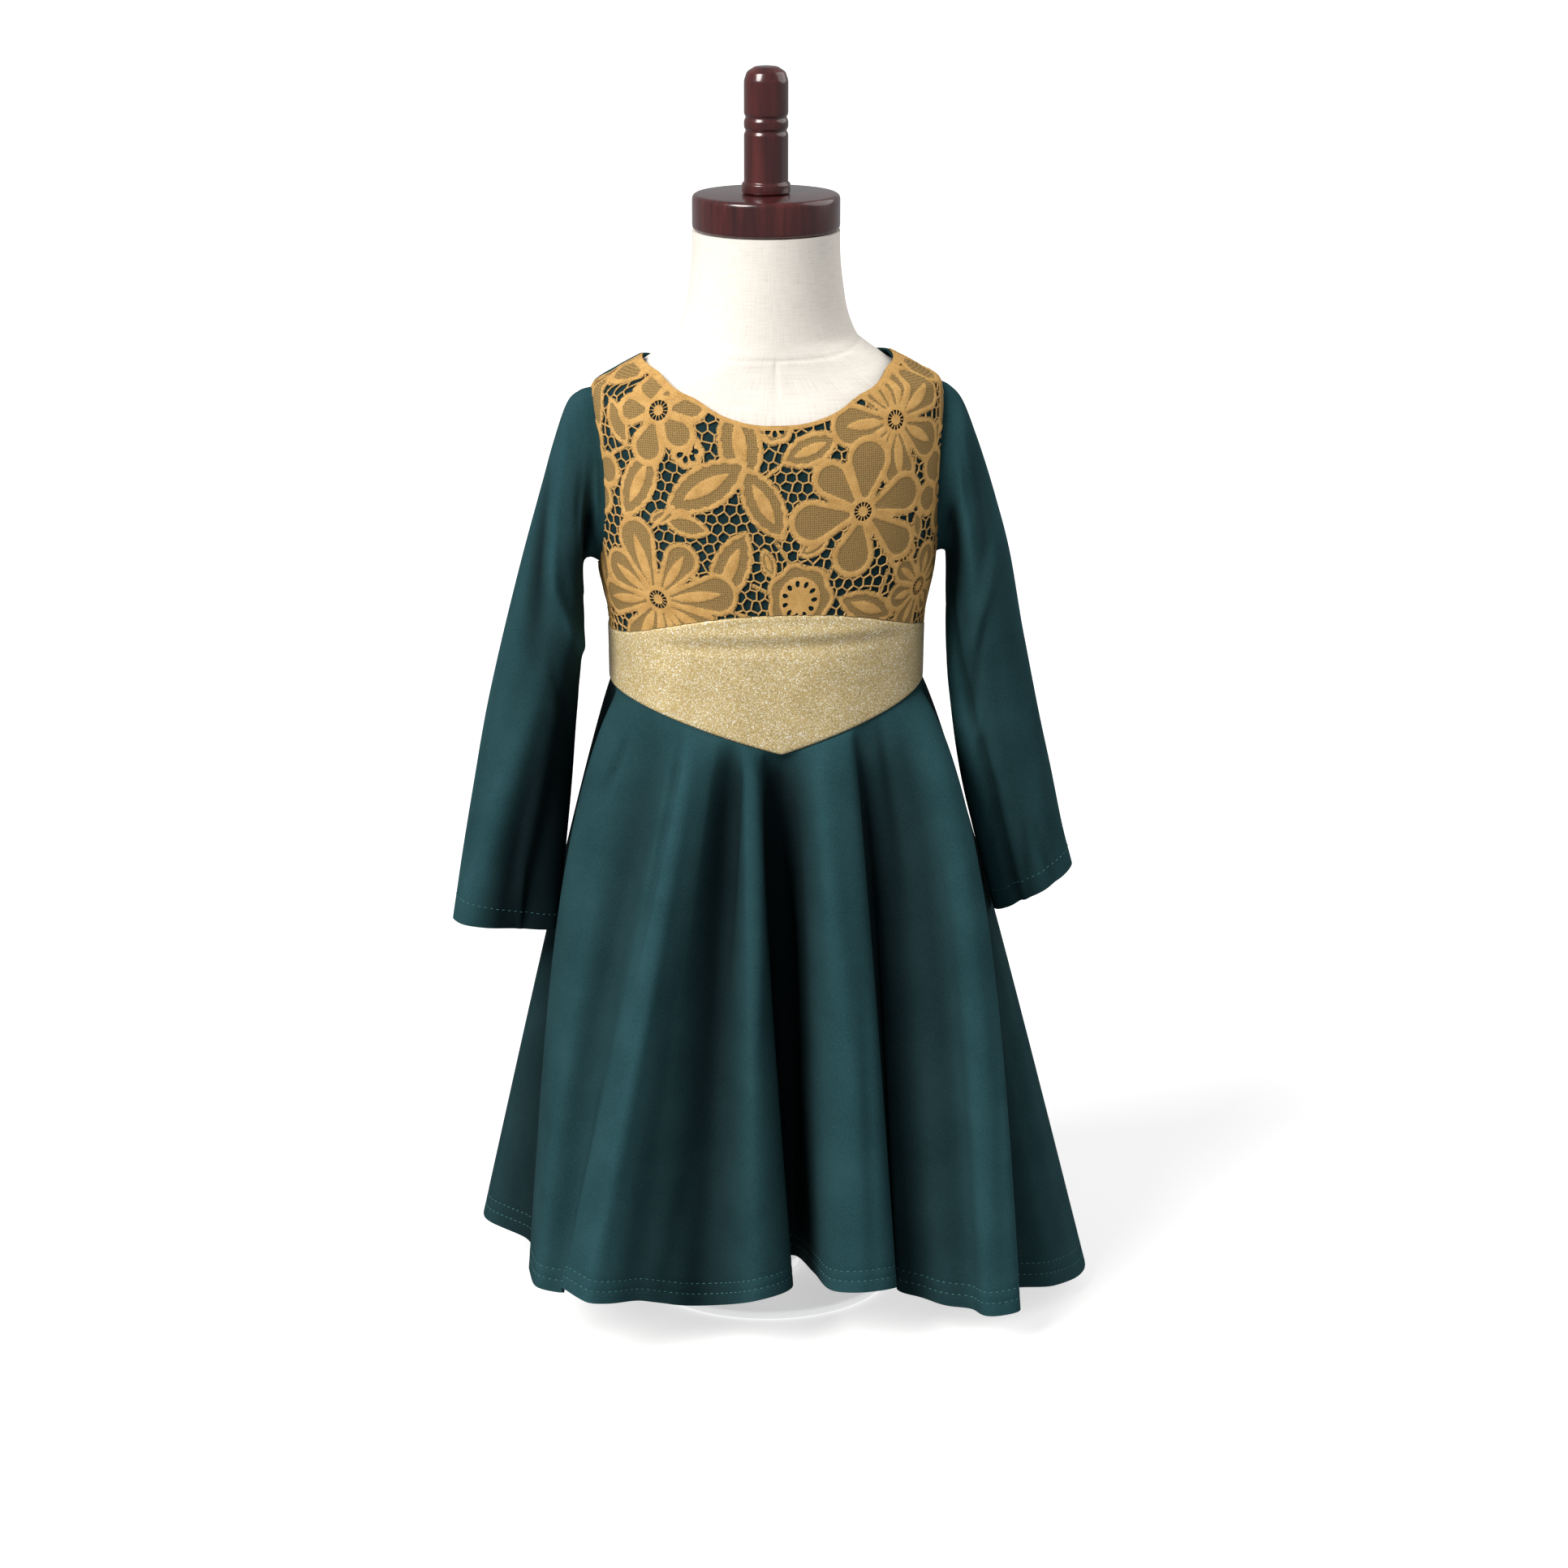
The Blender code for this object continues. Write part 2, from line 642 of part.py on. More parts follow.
def build_band(name, start, end, collection, material):
    """Half of the waistband, between two turns."""
    columns = 2 * HALF_COLUMNS
    turns = [start + (end - start) * spot / columns for spot in range(columns + 1)]

    def skin(out):
        return [[on_torso(turn, band_low(turn) + (band_high(turn) - band_low(turn)) * row / BAND_ROWS,
                          out) for turn in turns] for row in range(BAND_ROWS + 1)]

    mesh = build_wall_mesh(name, skin(BAND_PROUD), skin(BAND_PROUD - BAND_WALL), closed=False)
    return new_object(name, mesh, collection, material)


def armhole_ring(side):
    """Points round an armhole, from the underarm up the front, over and down the back."""
    front = front_panel_places()
    back = back_panel_places()
    spot = -1 if side > 0 else 0
    rear = 0 if side > 0 else -1
    rows = range(SIDE_ROWS, SIDE_ROWS + ARMHOLE_ROWS + 1)
    up = [on_torso(*front[row][spot]) for row in rows]
    down = [on_torso(*back[row][rear]) for row in rows]
    up[0] = (up[0] + down[0]) / 2
    up[-1] = (up[-1] + down[-1]) / 2
    ring = up + list(reversed(down[1:-1]))
    centre = sum(ring, Vector()) / len(ring)
    return [centre + (point - centre) * (1 - SLEEVE_SEAM / (point - centre).length)
            for point in ring]


def sleeve_section(row, side, count):
    """Points round one section of a sleeve, in the armhole ring's order."""
    _, outer_x, outer_z, inner_x, inner_z, centre_y, half_depth = row
    outer = Vector((side * outer_x, centre_y, outer_z)) * MM
    inner = Vector((side * inner_x, centre_y, inner_z)) * MM
    centre, half = (outer + inner) / 2, (outer - inner) / 2
    forward = Vector((0, -half_depth * MM, 0))
    turns = [2 * pi * spot / count for spot in range(count)]
    return [centre - half * cos(turn) + forward * sin(turn) for turn in turns]


def spline_point(points, place):
    """Point on a smooth open curve through a list of points, by share of its spans."""
    spans = len(points) - 1
    span = min(int(place * spans), spans - 1)
    t = place * spans - span
    start, end = points[span], points[span + 1]
    before = points[span - 1] if span > 0 else start * 2 - end
    after = points[span + 2] if span < spans - 1 else end * 2 - start
    return ((start * 2) + (end - before) * t + (before * 2 - start * 5 + end * 4 - after) * t * t
            + (start * 3 - before - end * 3 + after) * t ** 3) / 2


def sleeve_fold_height(turn, share):
    """How far the soft folds lift the sleeve at a turn round it and a share of its length."""
    lift = 0.0
    for _, turn_a, share_a, turn_b, share_b, height, half_width in SLEEVE_FOLDS:
        dx = radians(turn_b - turn_a) * SLEEVE_RADIUS
        dy = (share_b - share_a) * SLEEVE_LENGTH
        px = (turn - radians(turn_a)) * SLEEVE_RADIUS
        py = (share - share_a) * SLEEVE_LENGTH
        t = min(max((px * dx + py * dy) / (dx * dx + dy * dy), 0.0), 1.0)
        gap = hypot(px - dx * t, py - dy * t)
        fade = sin(pi * (FOLD_FADE + (1 - 2 * FOLD_FADE) * t))
        lift += height * MM * fade * exp(-(gap / (half_width * MM)) ** 2)
    return lift


def build_sleeve(name, table, side, collection, material):
    """A tapered sleeve lofted from the armhole through the table's sections to the cuff."""
    head = armhole_ring(side)
    count = len(head)
    rings = [head] + [sleeve_section(row, side, count) for row in table]
    outer = []
    for step in range(SLEEVE_STEPS + 1):
        share = (step / SLEEVE_STEPS) ** SLEEVE_CROWDING
        ring = [spline_point([line[spot] for line in rings], share) for spot in range(count)]
        centre = sum(ring, Vector()) / count
        fade = min(1.0, share / HEAD_FADE)
        lifted = []
        for spot, point in enumerate(ring):
            away = (point - centre).normalized()
            lift = sleeve_fold_height(2 * pi * spot / count, share)
            lifted.append(point + away * lift * fade)
        outer.append(lifted)
    normals = grid_normals(outer)
    inner = [[point - normal * KNIT_WALL * side for point, normal in zip(line, directions)]
             for line, directions in zip(outer, normals)]
    mesh = build_wall_mesh(name, outer, inner, closed=True)
    return new_object(name, mesh, collection, material)


def calm_hem(x, y):
    """The hem point in a rib's direction on the calm oval that the folds leave and cross."""
    turn = atan2(y / CALM_HEM_HALF_DEPTH, x / CALM_HEM_HALF_WIDTH)
    return cos(turn) * CALM_HEM_HALF_WIDTH, sin(turn) * CALM_HEM_HALF_DEPTH


def rib_point(rib, share):
    """Point on a skirt rib, by share of the way from the waist seam to the hem."""
    _, turn, belly_x, belly_y, hem_x, hem_y, hem_z = rib
    turn = radians(turn)
    top = on_torso(turn, band_low(turn) - SKIRT_SEAM)
    hem = Vector((hem_x, hem_y, hem_z)) * MM
    calm_x, calm_y = calm_hem(hem.x, hem.y)
    calm = Vector((calm_x, calm_y, hem.z))
    belly = Vector((belly_x, belly_y, 0)) * MM * sin(pi * share ** BELLY_START)
    return top.lerp(calm, share) + (hem - calm) * share ** FOLD_START + belly


def ring_spline(points, steps):
    """Points on a closed centripetal curve through a ring, with even steps in each span."""
    count = len(points)
    ring = []
    for index in range(count):
        a, b, c, d = (points[(index + shift) % count] for shift in (-1, 0, 1, 2))
        t0 = 0.0
        t1 = t0 + sqrt((b - a).length)
        t2 = t1 + sqrt((c - b).length)
        t3 = t2 + sqrt((d - c).length)
        for step in range(steps):
            t = t1 + (t2 - t1) * step / steps
            ab = a * ((t1 - t) / (t1 - t0)) + b * ((t - t0) / (t1 - t0))
            bc = b * ((t2 - t) / (t2 - t1)) + c * ((t - t1) / (t2 - t1))
            cd = c * ((t3 - t) / (t3 - t2)) + d * ((t - t2) / (t3 - t2))
            abc = ab * ((t2 - t) / (t2 - t0)) + bc * ((t - t0) / (t2 - t0))
            bcd = bc * ((t3 - t) / (t3 - t1)) + cd * ((t - t1) / (t3 - t1))
            ring.append(abc * ((t2 - t) / (t2 - t1)) + bcd * ((t - t1) / (t2 - t1)))
    return ring


def skirt_rings():
    """Rings of the whole skirt, from the waist seam down to the hem."""
    shares = [(row / SKIRT_ROWS) ** SKIRT_CROWDING for row in range(SKIRT_ROWS + 1)]
    return [ring_spline([rib_point(rib, share) for rib in SKIRT_RIBS], RIB_STEPS) for share in shares]


def part_edges(grid):
    """Move a panel's first and last columns in by half a seam."""
    moved = []
    for line in grid:
        start = (line[1] - line[0]).normalized() * SEAM / 2
        end = (line[-2] - line[-1]).normalized() * SEAM / 2
        moved.append([line[0] + start] + line[1:-1] + [line[-1] + end])
    return moved


def build_skirt(collection, material):
    """The front and back of the gored skirt, parted at the side seams."""
    names = [rib[0] for rib in SKIRT_RIBS]
    right = names.index("right_side") * RIB_STEPS
    left = names.index("left_side") * RIB_STEPS
    outer = skirt_rings()
    inner = [[point - normal * KNIT_WALL for point, normal in zip(line, directions)]
             for line, directions in zip(outer, grid_normals(outer))]
    for name, first, last in (("skirt_front", right, left), ("skirt_back", left, right)):
        skins = []
        for rings in (outer, inner):
            cut = [ring[first:last + 1] if first < last else ring[first:] + ring[:last + 1]
                   for ring in rings]
            skins.append(part_edges(cut))
        mesh = build_wall_mesh(name, *skins, closed=False)
        new_object(name, mesh, collection, material)


def form_ring(height, count):
    """Points round the form at a height, inside the cloth, which it touches at the midriff."""
    ease = smooth(column(FORM_EASE, 1), column(FORM_EASE, 2), height / MM) * MM
    return [on_torso(2 * pi * spot / count, height, -KNIT_WALL - ease) for spot in range(count)]


def build_form(collection, material):
    """The linen torso: closed under the skirt, smooth over the shoulders, flat at the neck."""
    count = FORM_SIDES
    rings = []
    for rise, shrink in FORM_FOOT:
        height = FORM_BOTTOM + rise * MM
        ring = form_ring(FORM_HEIGHTS[0] * MM, count)
        rings.append([Vector((p.x * shrink, p.y * shrink, height)) for p in ring])
    rings += [form_ring(height * MM, count) for height in FORM_HEIGHTS]
    top = form_ring(NECK_TOP, count)
    rings.append([Vector((p.x, p.y, FORM_TOP)) for p in top])
    mesh = bpy.data.meshes.new("form_body")
    body = bmesh.new()
    verts = [[body.verts.new(point) for point in ring] for ring in rings]
    for low, high in zip(verts, verts[1:]):
        for spot in range(count):
            after = (spot + 1) % count
            body.faces.new((low[spot], low[after], high[after], high[spot]))
    body.faces.new(list(reversed(verts[0])))
    body.faces.new(verts[-1])
    body.to_mesh(mesh)
    body.free()
    mesh.shade_smooth()
    return new_object("form_body", mesh, collection, material)


def turned(name, profile, steps, collection, material):
    """A turned piece: a profile in radius and height, from the top down, spun about Z."""
    mesh = bpy.data.meshes.new(name)
    mesh.from_pydata([(radius, 0.0, height) for radius, height in profile],
                     [(spot, spot + 1) for spot in range(len(profile) - 1)], [])
    item = new_object(name, mesh, collection, material)
    screw = item.modifiers.new("turn", "SCREW")
    screw.steps = steps
    screw.render_steps = steps
    screw.use_merge_vertices = True
    screw.merge_threshold = 0.00005
    screw.use_smooth_shade = True
    return item


def build_stand(collection, wood, paint):
    """Base plate and post under the form, neck cap and finial above it."""
    chamfer = 1.5 * MM
    base = ((0, HUB_TOP), (HUB_RADIUS - 2 * MM, HUB_TOP), (HUB_RADIUS, HUB_TOP - 2 * MM),
            (HUB_RADIUS, BASE_TOP), (BASE_RADIUS - chamfer, BASE_TOP),
            (BASE_RADIUS, BASE_TOP - chamfer), (BASE_RADIUS, 0), (0, 0))
    turned("base_plate", base, 40, collection, paint)

    post_foot, post_head = HUB_TOP + SEAM, FORM_BOTTOM - SEAM
    bpy.ops.mesh.primitive_cylinder_add(vertices=24, radius=POST_RADIUS,
                                        depth=post_head - post_foot,
                                        location=(0, 0, (post_head + post_foot) / 2))
    post = bpy.context.object
    post.name = "post"
    post.data.materials.append(paint)
    for owner in list(post.users_collection):
        owner.objects.unlink(post)
    collection.objects.link(post)

    edge = 4 * MM
    cap = [(0, CAP_TOP)]
    for step in range(4):
        lean = pi / 2 * step / 3
        cap.append((CAP_RADIUS - edge + edge * sin(lean), CAP_TOP - edge + edge * cos(lean)))
    for step in range(4):
        lean = pi / 2 * step / 3
        cap.append((CAP_RADIUS - edge + edge * cos(lean), CAP_BOTTOM + edge - edge * sin(lean)))
    cap.append((0, CAP_BOTTOM))
    turned("neck_cap", cap, 36, collection, wood)

    finial = [(radius * MM, height * MM) for _, radius, height in FINIAL]
    turned("finial", finial, 20, collection, wood)


def build():
    clear_scene()
    dress = new_collection("princess_dress")
    cutters = new_collection("cutters")
    green = new_material("green_knit", (0.012, 0.055, 0.058), 0.85, sheen=0.3)
    lace = new_material("mustard_lace", (0.72, 0.38, 0.10), 0.8)
    gold = new_material("gold_glitter", (0.52, 0.38, 0.15), 0.4, metallic=0.6)
    linen = new_material("linen", (0.84, 0.80, 0.74), 0.9)
    wood = new_material("mahogany", (0.045, 0.012, 0.011), 0.25)
    paint = new_material("white_paint", (0.82, 0.82, 0.80), 0.4)

    build_stand(dress, wood, paint)
    build_form(dress, linen)
    front = front_panel_places()
    build_bodice("bodice_front", front, dress, green)
    build_bodice("bodice_back", back_panel_places(), dress, green)
    build_lace(front, dress, cutters, lace)
    build_band("waistband_front", -EDGE_TURN, EDGE_TURN, dress, gold)
    build_band("waistband_back", pi - EDGE_TURN, pi + EDGE_TURN, dress, gold)
    build_sleeve("sleeve_left", SLEEVE_LEFT, 1, dress, green)
    build_sleeve("sleeve_right", SLEEVE_RIGHT, -1, dress, green)
    build_skirt(dress, green)


build()
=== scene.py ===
# %% [markdown]
# # A princess dress on a dress form
#
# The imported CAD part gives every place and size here: its pieces stay the measure of the dress,
# and this script puts finer cloth where the plain solids are. The cloth follows the same rules and
# the same short tables as the solids, with many more steps, and then gets what makes it cloth:
# lace, weave, glitter, soft creases and rows of stitches.

# %% Load the frame
from math import cos, hypot, pi, radians, sin, sqrt

import bpy
import numpy as np
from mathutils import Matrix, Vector
from mathutils.geometry import delaunay_2d_cdt


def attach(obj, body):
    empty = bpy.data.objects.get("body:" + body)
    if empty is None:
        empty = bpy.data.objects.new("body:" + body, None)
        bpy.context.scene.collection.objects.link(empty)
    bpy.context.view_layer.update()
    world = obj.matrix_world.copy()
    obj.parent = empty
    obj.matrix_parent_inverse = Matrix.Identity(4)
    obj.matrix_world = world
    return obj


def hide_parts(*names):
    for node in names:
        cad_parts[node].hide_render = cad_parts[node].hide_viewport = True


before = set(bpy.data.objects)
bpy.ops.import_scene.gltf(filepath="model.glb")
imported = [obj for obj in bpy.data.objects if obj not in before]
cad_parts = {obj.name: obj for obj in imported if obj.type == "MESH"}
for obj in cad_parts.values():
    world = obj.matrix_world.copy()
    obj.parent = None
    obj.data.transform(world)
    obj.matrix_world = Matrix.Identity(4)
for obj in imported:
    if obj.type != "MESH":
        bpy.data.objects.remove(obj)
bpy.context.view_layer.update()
MM = 0.001

# %% [markdown]
# ## Camera, floor and light
#
# A product photo on white is taken with a long lens from a little above the dress. The camera
# stands 2.6 m away, turned seven degrees to the side and looking down sixteen. A floor that reaches
# far behind the dress fills the whole view, so no horizon shows. It glows, like a light table,
# which keeps the shadow on it faint, and it throws no light back on the cloth or the varnish, so
# that folds stay dark inside. The key light is a large soft sun from the viewer's left. A weaker
# and softer one lights the other side from a little behind, and a pale sky fills the rest.

# %% Camera and studio
CAMERA_DISTANCE, CAMERA_HEIGHT = 2.6, 1.094
CAMERA_TURN, CAMERA_DOWN = radians(7), radians(16)
SENSOR, LENS, LENS_SHIFT, FAR_CLIP = 36.0, 93.34, 0.01139, 300.0
FLOOR_SIZE = 120.0
LIGHT_TINT, SKY_TINT = (1.0, 0.985, 0.96), (0.97, 0.985, 1.0, 1)
KEY_STRENGTH, SKY_STRENGTH = 4.2, 0.34
KEY_TURN, KEY_RISE, KEY_SOFTNESS = radians(52), radians(38), radians(30)
FILL_STRENGTH, FILL_TURN, FILL_RISE, FILL_SOFTNESS = 1.3, radians(-98), radians(28), radians(60)
FLOOR_WHITE, FLOOR_GLOW = 0.50, 0.66


def make_camera():
    """A long lens at the photo's viewing angle."""
    data = bpy.data.cameras.new("camera")
    data.sensor_width = SENSOR
    data.lens = LENS
    data.shift_x = LENS_SHIFT
    data.clip_end = FAR_CLIP
    camera = bpy.data.objects.new("camera", data)
    camera.location = (-CAMERA_DISTANCE * sin(CAMERA_TURN), -CAMERA_DISTANCE * cos(CAMERA_TURN),
                       CAMERA_HEIGHT)
    camera.rotation_euler = (pi / 2 - CAMERA_DOWN, 0, -CAMERA_TURN)
    bpy.context.scene.collection.objects.link(camera)
    bpy.context.scene.camera = camera


def make_floor():
    """A pale floor that glows and lights nothing else."""
    bpy.ops.mesh.primitive_plane_add(size=FLOOR_SIZE)
    floor = bpy.context.object
    floor.name = "floor"
    white = bpy.data.materials.new("floor_white")
    white.use_nodes = True
    shader = white.node_tree.nodes["Principled BSDF"]
    shader.inputs["Base Color"].default_value = (FLOOR_WHITE, FLOOR_WHITE, FLOOR_WHITE, 1)
    shader.inputs["Roughness"].default_value = 1.0
    shader.inputs["Specular IOR Level"].default_value = 0.0
    shader.inputs["Emission Color"].default_value = (1, 1, 1, 1)
    shader.inputs["Emission Strength"].default_value = FLOOR_GLOW
    floor.data.materials.append(white)
    floor.visible_diffuse = False
    floor.visible_glossy = False


def make_lights():
    """A soft sun, a weaker one from the other side and an even pale sky."""
    for name, strength, turn, rise, softness in (
            ("key", KEY_STRENGTH, KEY_TURN, KEY_RISE, KEY_SOFTNESS),
            ("fill", FILL_STRENGTH, FILL_TURN, FILL_RISE, FILL_SOFTNESS)):
        data = bpy.data.lights.new(name, "SUN")
        data.energy = strength
        data.angle = softness
        data.color = LIGHT_TINT
        light = bpy.data.objects.new(name, data)
        way = Vector((sin(turn) * cos(rise), cos(turn) * cos(rise), -sin(rise)))
        light.rotation_euler = way.to_track_quat("-Z", "Y").to_euler()
        bpy.context.scene.collection.objects.link(light)

    world = bpy.data.worlds.new("studio")
    world.use_nodes = True
    sky = world.node_tree.nodes["Background"]
    sky.inputs["Color"].default_value = SKY_TINT
    sky.inputs["Strength"].default_value = SKY_STRENGTH
    bpy.context.scene.world = world
    bpy.context.scene.view_settings.view_transform = "Standard"


make_camera()
make_floor()
make_lights()
print("Camera height in m:", CAMERA_HEIGHT)

# %% [markdown]
# ## Shapes from tables
#
# A dress form is a stack of rounded sections. A few rows of half widths and half depths, joined by
# a curve that never overshoots, give a smooth torso from hip to neck. Everything on the torso is
# placed by a turn round it and a height, so cloth, band and lace all lie on the same surface.

# %% The torso
# By section: height, half width, half depth and how square its corners are (2 is an oval).
TORSO = (
    ("below_hip", 304.0, 101.0, 79.0, 2.2),
    ("hip", 391.0, 101.5, 80.5, 2.2),
    ("waist", 424.0, 102.0, 81.0, 2.2),
    ("band_top", 464.0, 102.5, 80.5, 2.3),
    ("underarm", 504.0, 109.5, 80.5, 2.4),
    ("chest", 544.0, 112.0, 79.0, 2.5),
    ("upper_chest", 579.0, 113.5, 74.5, 2.5),
    ("neck_low", 604.0, 114.5, 67.0, 2.5),
    ("shoulder_tip", 619.0, 112.5, 61.0, 2.4),
    ("mid_shoulder", 629.0, 98.0, 57.0, 2.3),
    ("neck_side", 639.0, 79.5, 54.0, 2.2),
    ("neck_root", 654.0, 60.0, 51.5, 2.0),
    ("neck", 677.0, 52.5, 50.0, 2.0),
    ("neck_top", 709.0, 49.5, 49.5, 2.0),
    ("cap_seat", 724.0, 49.5, 49.5, 2.0),
)
EDGE_TURN = pi / 2 - 0.0014
TABLE_STEP = 0.25


def smooth(places, values, at):
    """Values on a smooth curve through a table's points, without overshoot."""
    places, values = np.asarray(places, float), np.asarray(values, float)
    slopes = np.diff(values) / np.diff(places)
    inner = slopes[:-1] * slopes[1:]
    total = slopes[:-1] + slopes[1:]
    mean = np.where(inner > 0, 2 * inner / np.where(total == 0, 1, total), 0.0)
    tangents = np.concatenate(([slopes[0]], mean, [slopes[-1]]))
    at = np.asarray(at, float)
    span = np.clip(np.searchsorted(places, at) - 1, 0, len(slopes) - 1)
    width = places[span + 1] - places[span]
    t = np.clip((at - places[span]) / width, 0, 1)
    start, end = values[span], values[span + 1]
    return (start + (end - start) * t * t * (3 - 2 * t) + width * tangents[span] * t * (1 - t) ** 2
            - width * tangents[span + 1] * t * t * (1 - t))


def column(table, place):
    """One column of a table whose first column is a name."""
    return np.array([row[place] for row in table], dtype=float)


DENSE = np.arange(300.0, 730.0, TABLE_STEP)
SECTIONS = [smooth(column(TORSO, 1), column(TORSO, k), DENSE) for k in (2, 3, 4)]


def torso_points(turn, height):
    """Points on the torso, for arrays of turns and of heights in millimetres."""
    half_width, half_depth, square = (np.interp(height, DENSE, line) for line in SECTIONS)
    side, front = np.sin(turn), np.cos(turn)
    x = half_width * np.sign(side) * np.abs(side) ** (2 / square)
    y = -half_depth * np.sign(front) * np.abs(front) ** (2 / square)
    return np.stack(np.broadcast_arrays(x, y, height), -1).astype(float)


def unit(vectors):
    """Vectors at length one."""
    return vectors / np.maximum(np.linalg.norm(vectors, axis=-1, keepdims=True), 1e-12)


def torso_normals(turn, height):
    """Outward directions of the torso."""
    step, rise = 0.01, 0.5
    across = torso_points(turn + step, height) - torso_points(turn - step, height)
    up = torso_points(turn, height + rise) - torso_points(turn, height - rise)
    return unit(np.cross(across, up))


def on_torso(turn, height, out=0.0):
    """Points a given distance outside the torso, in millimetres."""
    out = np.asarray(out, float)[..., None]
    return torso_points(turn, height) + torso_normals(turn, height) * out


print("Chest round in mm:", round(float(np.linalg.norm(np.diff(torso_points(
    np.linspace(0, 2 * pi, 361), np.full(361, 564.0)), axis=0), axis=1).sum())))

# %% [markdown]
# ## Cloth as a wall between two grids
#
# Cloth could be one sheet with a Solidify modifier, but at an open edge that tilts the wall across
# the seam. Two grids of points, the outer face and the inner one, joined round the rim, keep each
# seam straight. The builder below also writes a UV map in real metres, which weave and stitches use.

# %% Mesh builders
def turn_out(verts, faces):
    """The faces of a closed shape, turned so that they point outwards."""
    tri = verts[faces[:, :3]]
    rest = verts[faces[:, [0, 2, 3]]]
    volume = sum(np.einsum("ij,ij->i", t[:, 0], np.cross(t[:, 1], t[:, 2])).sum() for t in (tri, rest))
    return faces if volume > 0 else faces[:, ::-1]


def new_mesh_object(name, verts, faces, material, uv=None, facts=None, sharp=55):
    """A mesh object from points in millimetres, with a UV map and named values on its points."""
    mesh = bpy.data.meshes.new(name)
    mesh.from_pydata((verts * MM).tolist(), [], faces if isinstance(faces, list) else faces.tolist())
    if uv is not None:
        layer = mesh.uv_layers.new(name="UVMap")
        loops = np.zeros(len(mesh.loops), np.int32)
        mesh.loops.foreach_get("vertex_index", loops)
        layer.data.foreach_set("uv", (np.asarray(uv)[loops] * MM).astype(np.float32).ravel())
    for key, values in (facts or {}).items():
        mesh.attributes.new(key, "FLOAT", "POINT").data.foreach_set(
            "value", np.asarray(values, np.float32).ravel())
    mesh.shade_smooth()
    mesh.set_sharp_from_angle(angle=radians(sharp))
    mesh.materials.append(material)
    item = bpy.data.objects.new(name, mesh)
    bpy.context.scene.collection.objects.link(item)
    return item


def grid_faces(rows, columns, closed):
    """Corner indices of the faces between two skins of a grid, rims included."""
    spans = columns if closed else columns - 1
    r, c = np.meshgrid(np.arange(rows - 1), np.arange(spans), indexing="ij")
    d = (c + 1) % columns
    skin = np.stack((r * columns + c, r * columns + d, (r + 1) * columns + d, (r + 1) * columns + c),
                    -1).reshape(-1, 4)
    far = rows * columns
    faces = [skin, skin[:, ::-1] + far]
    c = np.arange(spans)
    d = (c + 1) % columns
    top = (rows - 1) * columns
    faces.append(np.stack((d, c, c + far, d + far), -1))
    faces.append(np.stack((top + c, top + d, top + d + far, top + c + far), -1))
    if not closed:
        r = np.arange(rows - 1) * columns
        last = columns - 1
        faces.append(np.stack((r, r + columns, r + columns + far, r + far), -1))
        faces.append(np.stack((r + columns + last, r + last, r + last + far,
                               r + columns + last + far), -1))
    return np.concatenate(faces)


def wall(name, outer, inner, material, closed=False, facts=None):
    """A cloth wall between two grids, with a UV map in millimetres along its rows and columns."""
    rows, columns = outer.shape[:2]
    verts = np.concatenate((outer.reshape(-1, 3), inner.reshape(-1, 3)))
    faces = turn_out(verts, grid_faces(rows, columns, closed))
    along = np.linalg.norm(np.diff(outer, axis=1), axis=2).mean(0)
    down = np.linalg.norm(np.diff(outer, axis=0), axis=2).mean(1)
    u = np.concatenate(([0], np.cumsum(along)))
    v = np.concatenate(([0], np.cumsum(down)))
    uv = np.stack(np.meshgrid(u, v), -1).reshape(-1, 2)
    both = {key: np.concatenate((value.ravel(), value.ravel())) for key, value in (facts or {}).items()}
    return new_mesh_object(name, verts, faces, material, np.concatenate((uv, uv)), both)


def grid_normals(grid, closed):
    """Directions across a grid's surface at each of its points."""
    if closed:
        across = np.roll(grid, -1, 1) - np.roll(grid, 1, 1)
    else:
        across = np.gradient(grid, axis=1)
    return unit(np.cross(across, np.gradient(grid, axis=0)))


def finish_piece(piece, slot, *nodes):
    """A piece rides on the body and may stand for CAD nodes, which it hides. Its slot is not used."""
    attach(piece, "root")
    if nodes:
        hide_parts(*nodes)
    print(piece.name, "triangles:", sum(len(p.vertices) - 2 for p in piece.data.polygons))
    return piece


# %% [markdown]
# ## Materials
#
# Each finish is a small node tree. A helper adds a node with its settings, so that a tree reads
# from top to bottom. The knit is a dense matt jersey: its grain is finer than a millimetre, so it
# is bump on the surface, and a broad faint mottling keeps large areas from looking like plastic.
# Shade is painted into the knit's colour: an attribute darkens it deep inside a fold, under the
# lace, and on a sleeve where it turns to the body and on its front.

# %% Node helpers
def adder(tree):
    """A function that adds a node to a tree, with values or links on its sockets."""
    def add(kind, links=None, **settings):
        node = tree.nodes.new(kind)
        for key, value in settings.items():
            setattr(node, key, value)
        for key, value in (links or {}).items():
            if isinstance(value, bpy.types.NodeSocket):
                tree.links.new(value, node.inputs[key])
            else:
                node.inputs[key].default_value = value
        return node

    return add


def new_material(name, roughness, specular, metallic=0.0):
    """A material with its shader's plain values set, and a function that adds nodes to it."""
    material = bpy.data.materials.new(name)
    material.use_nodes = True
    tree = material.node_tree
    shader = tree.nodes["Principled BSDF"]
    shader.inputs["Roughness"].default_value = roughness
    shader.inputs["Specular IOR Level"].default_value = specular
    shader.inputs["Metallic"].default_value = metallic
    return material, shader, adder(tree), tree.links


def ramp(add, value, stops):
    """A colour ramp over a value, from (place, colour) pairs."""
    node = add("ShaderNodeValToRGB", {"Fac": value})
    while len(node.color_ramp.elements) < len(stops):
        node.color_ramp.elements.new(0.5)
    for element, (place, colour) in zip(node.color_ramp.elements, stops):
        element.position = place
        element.color = (*colour, 1)
    return node.outputs["Color"]


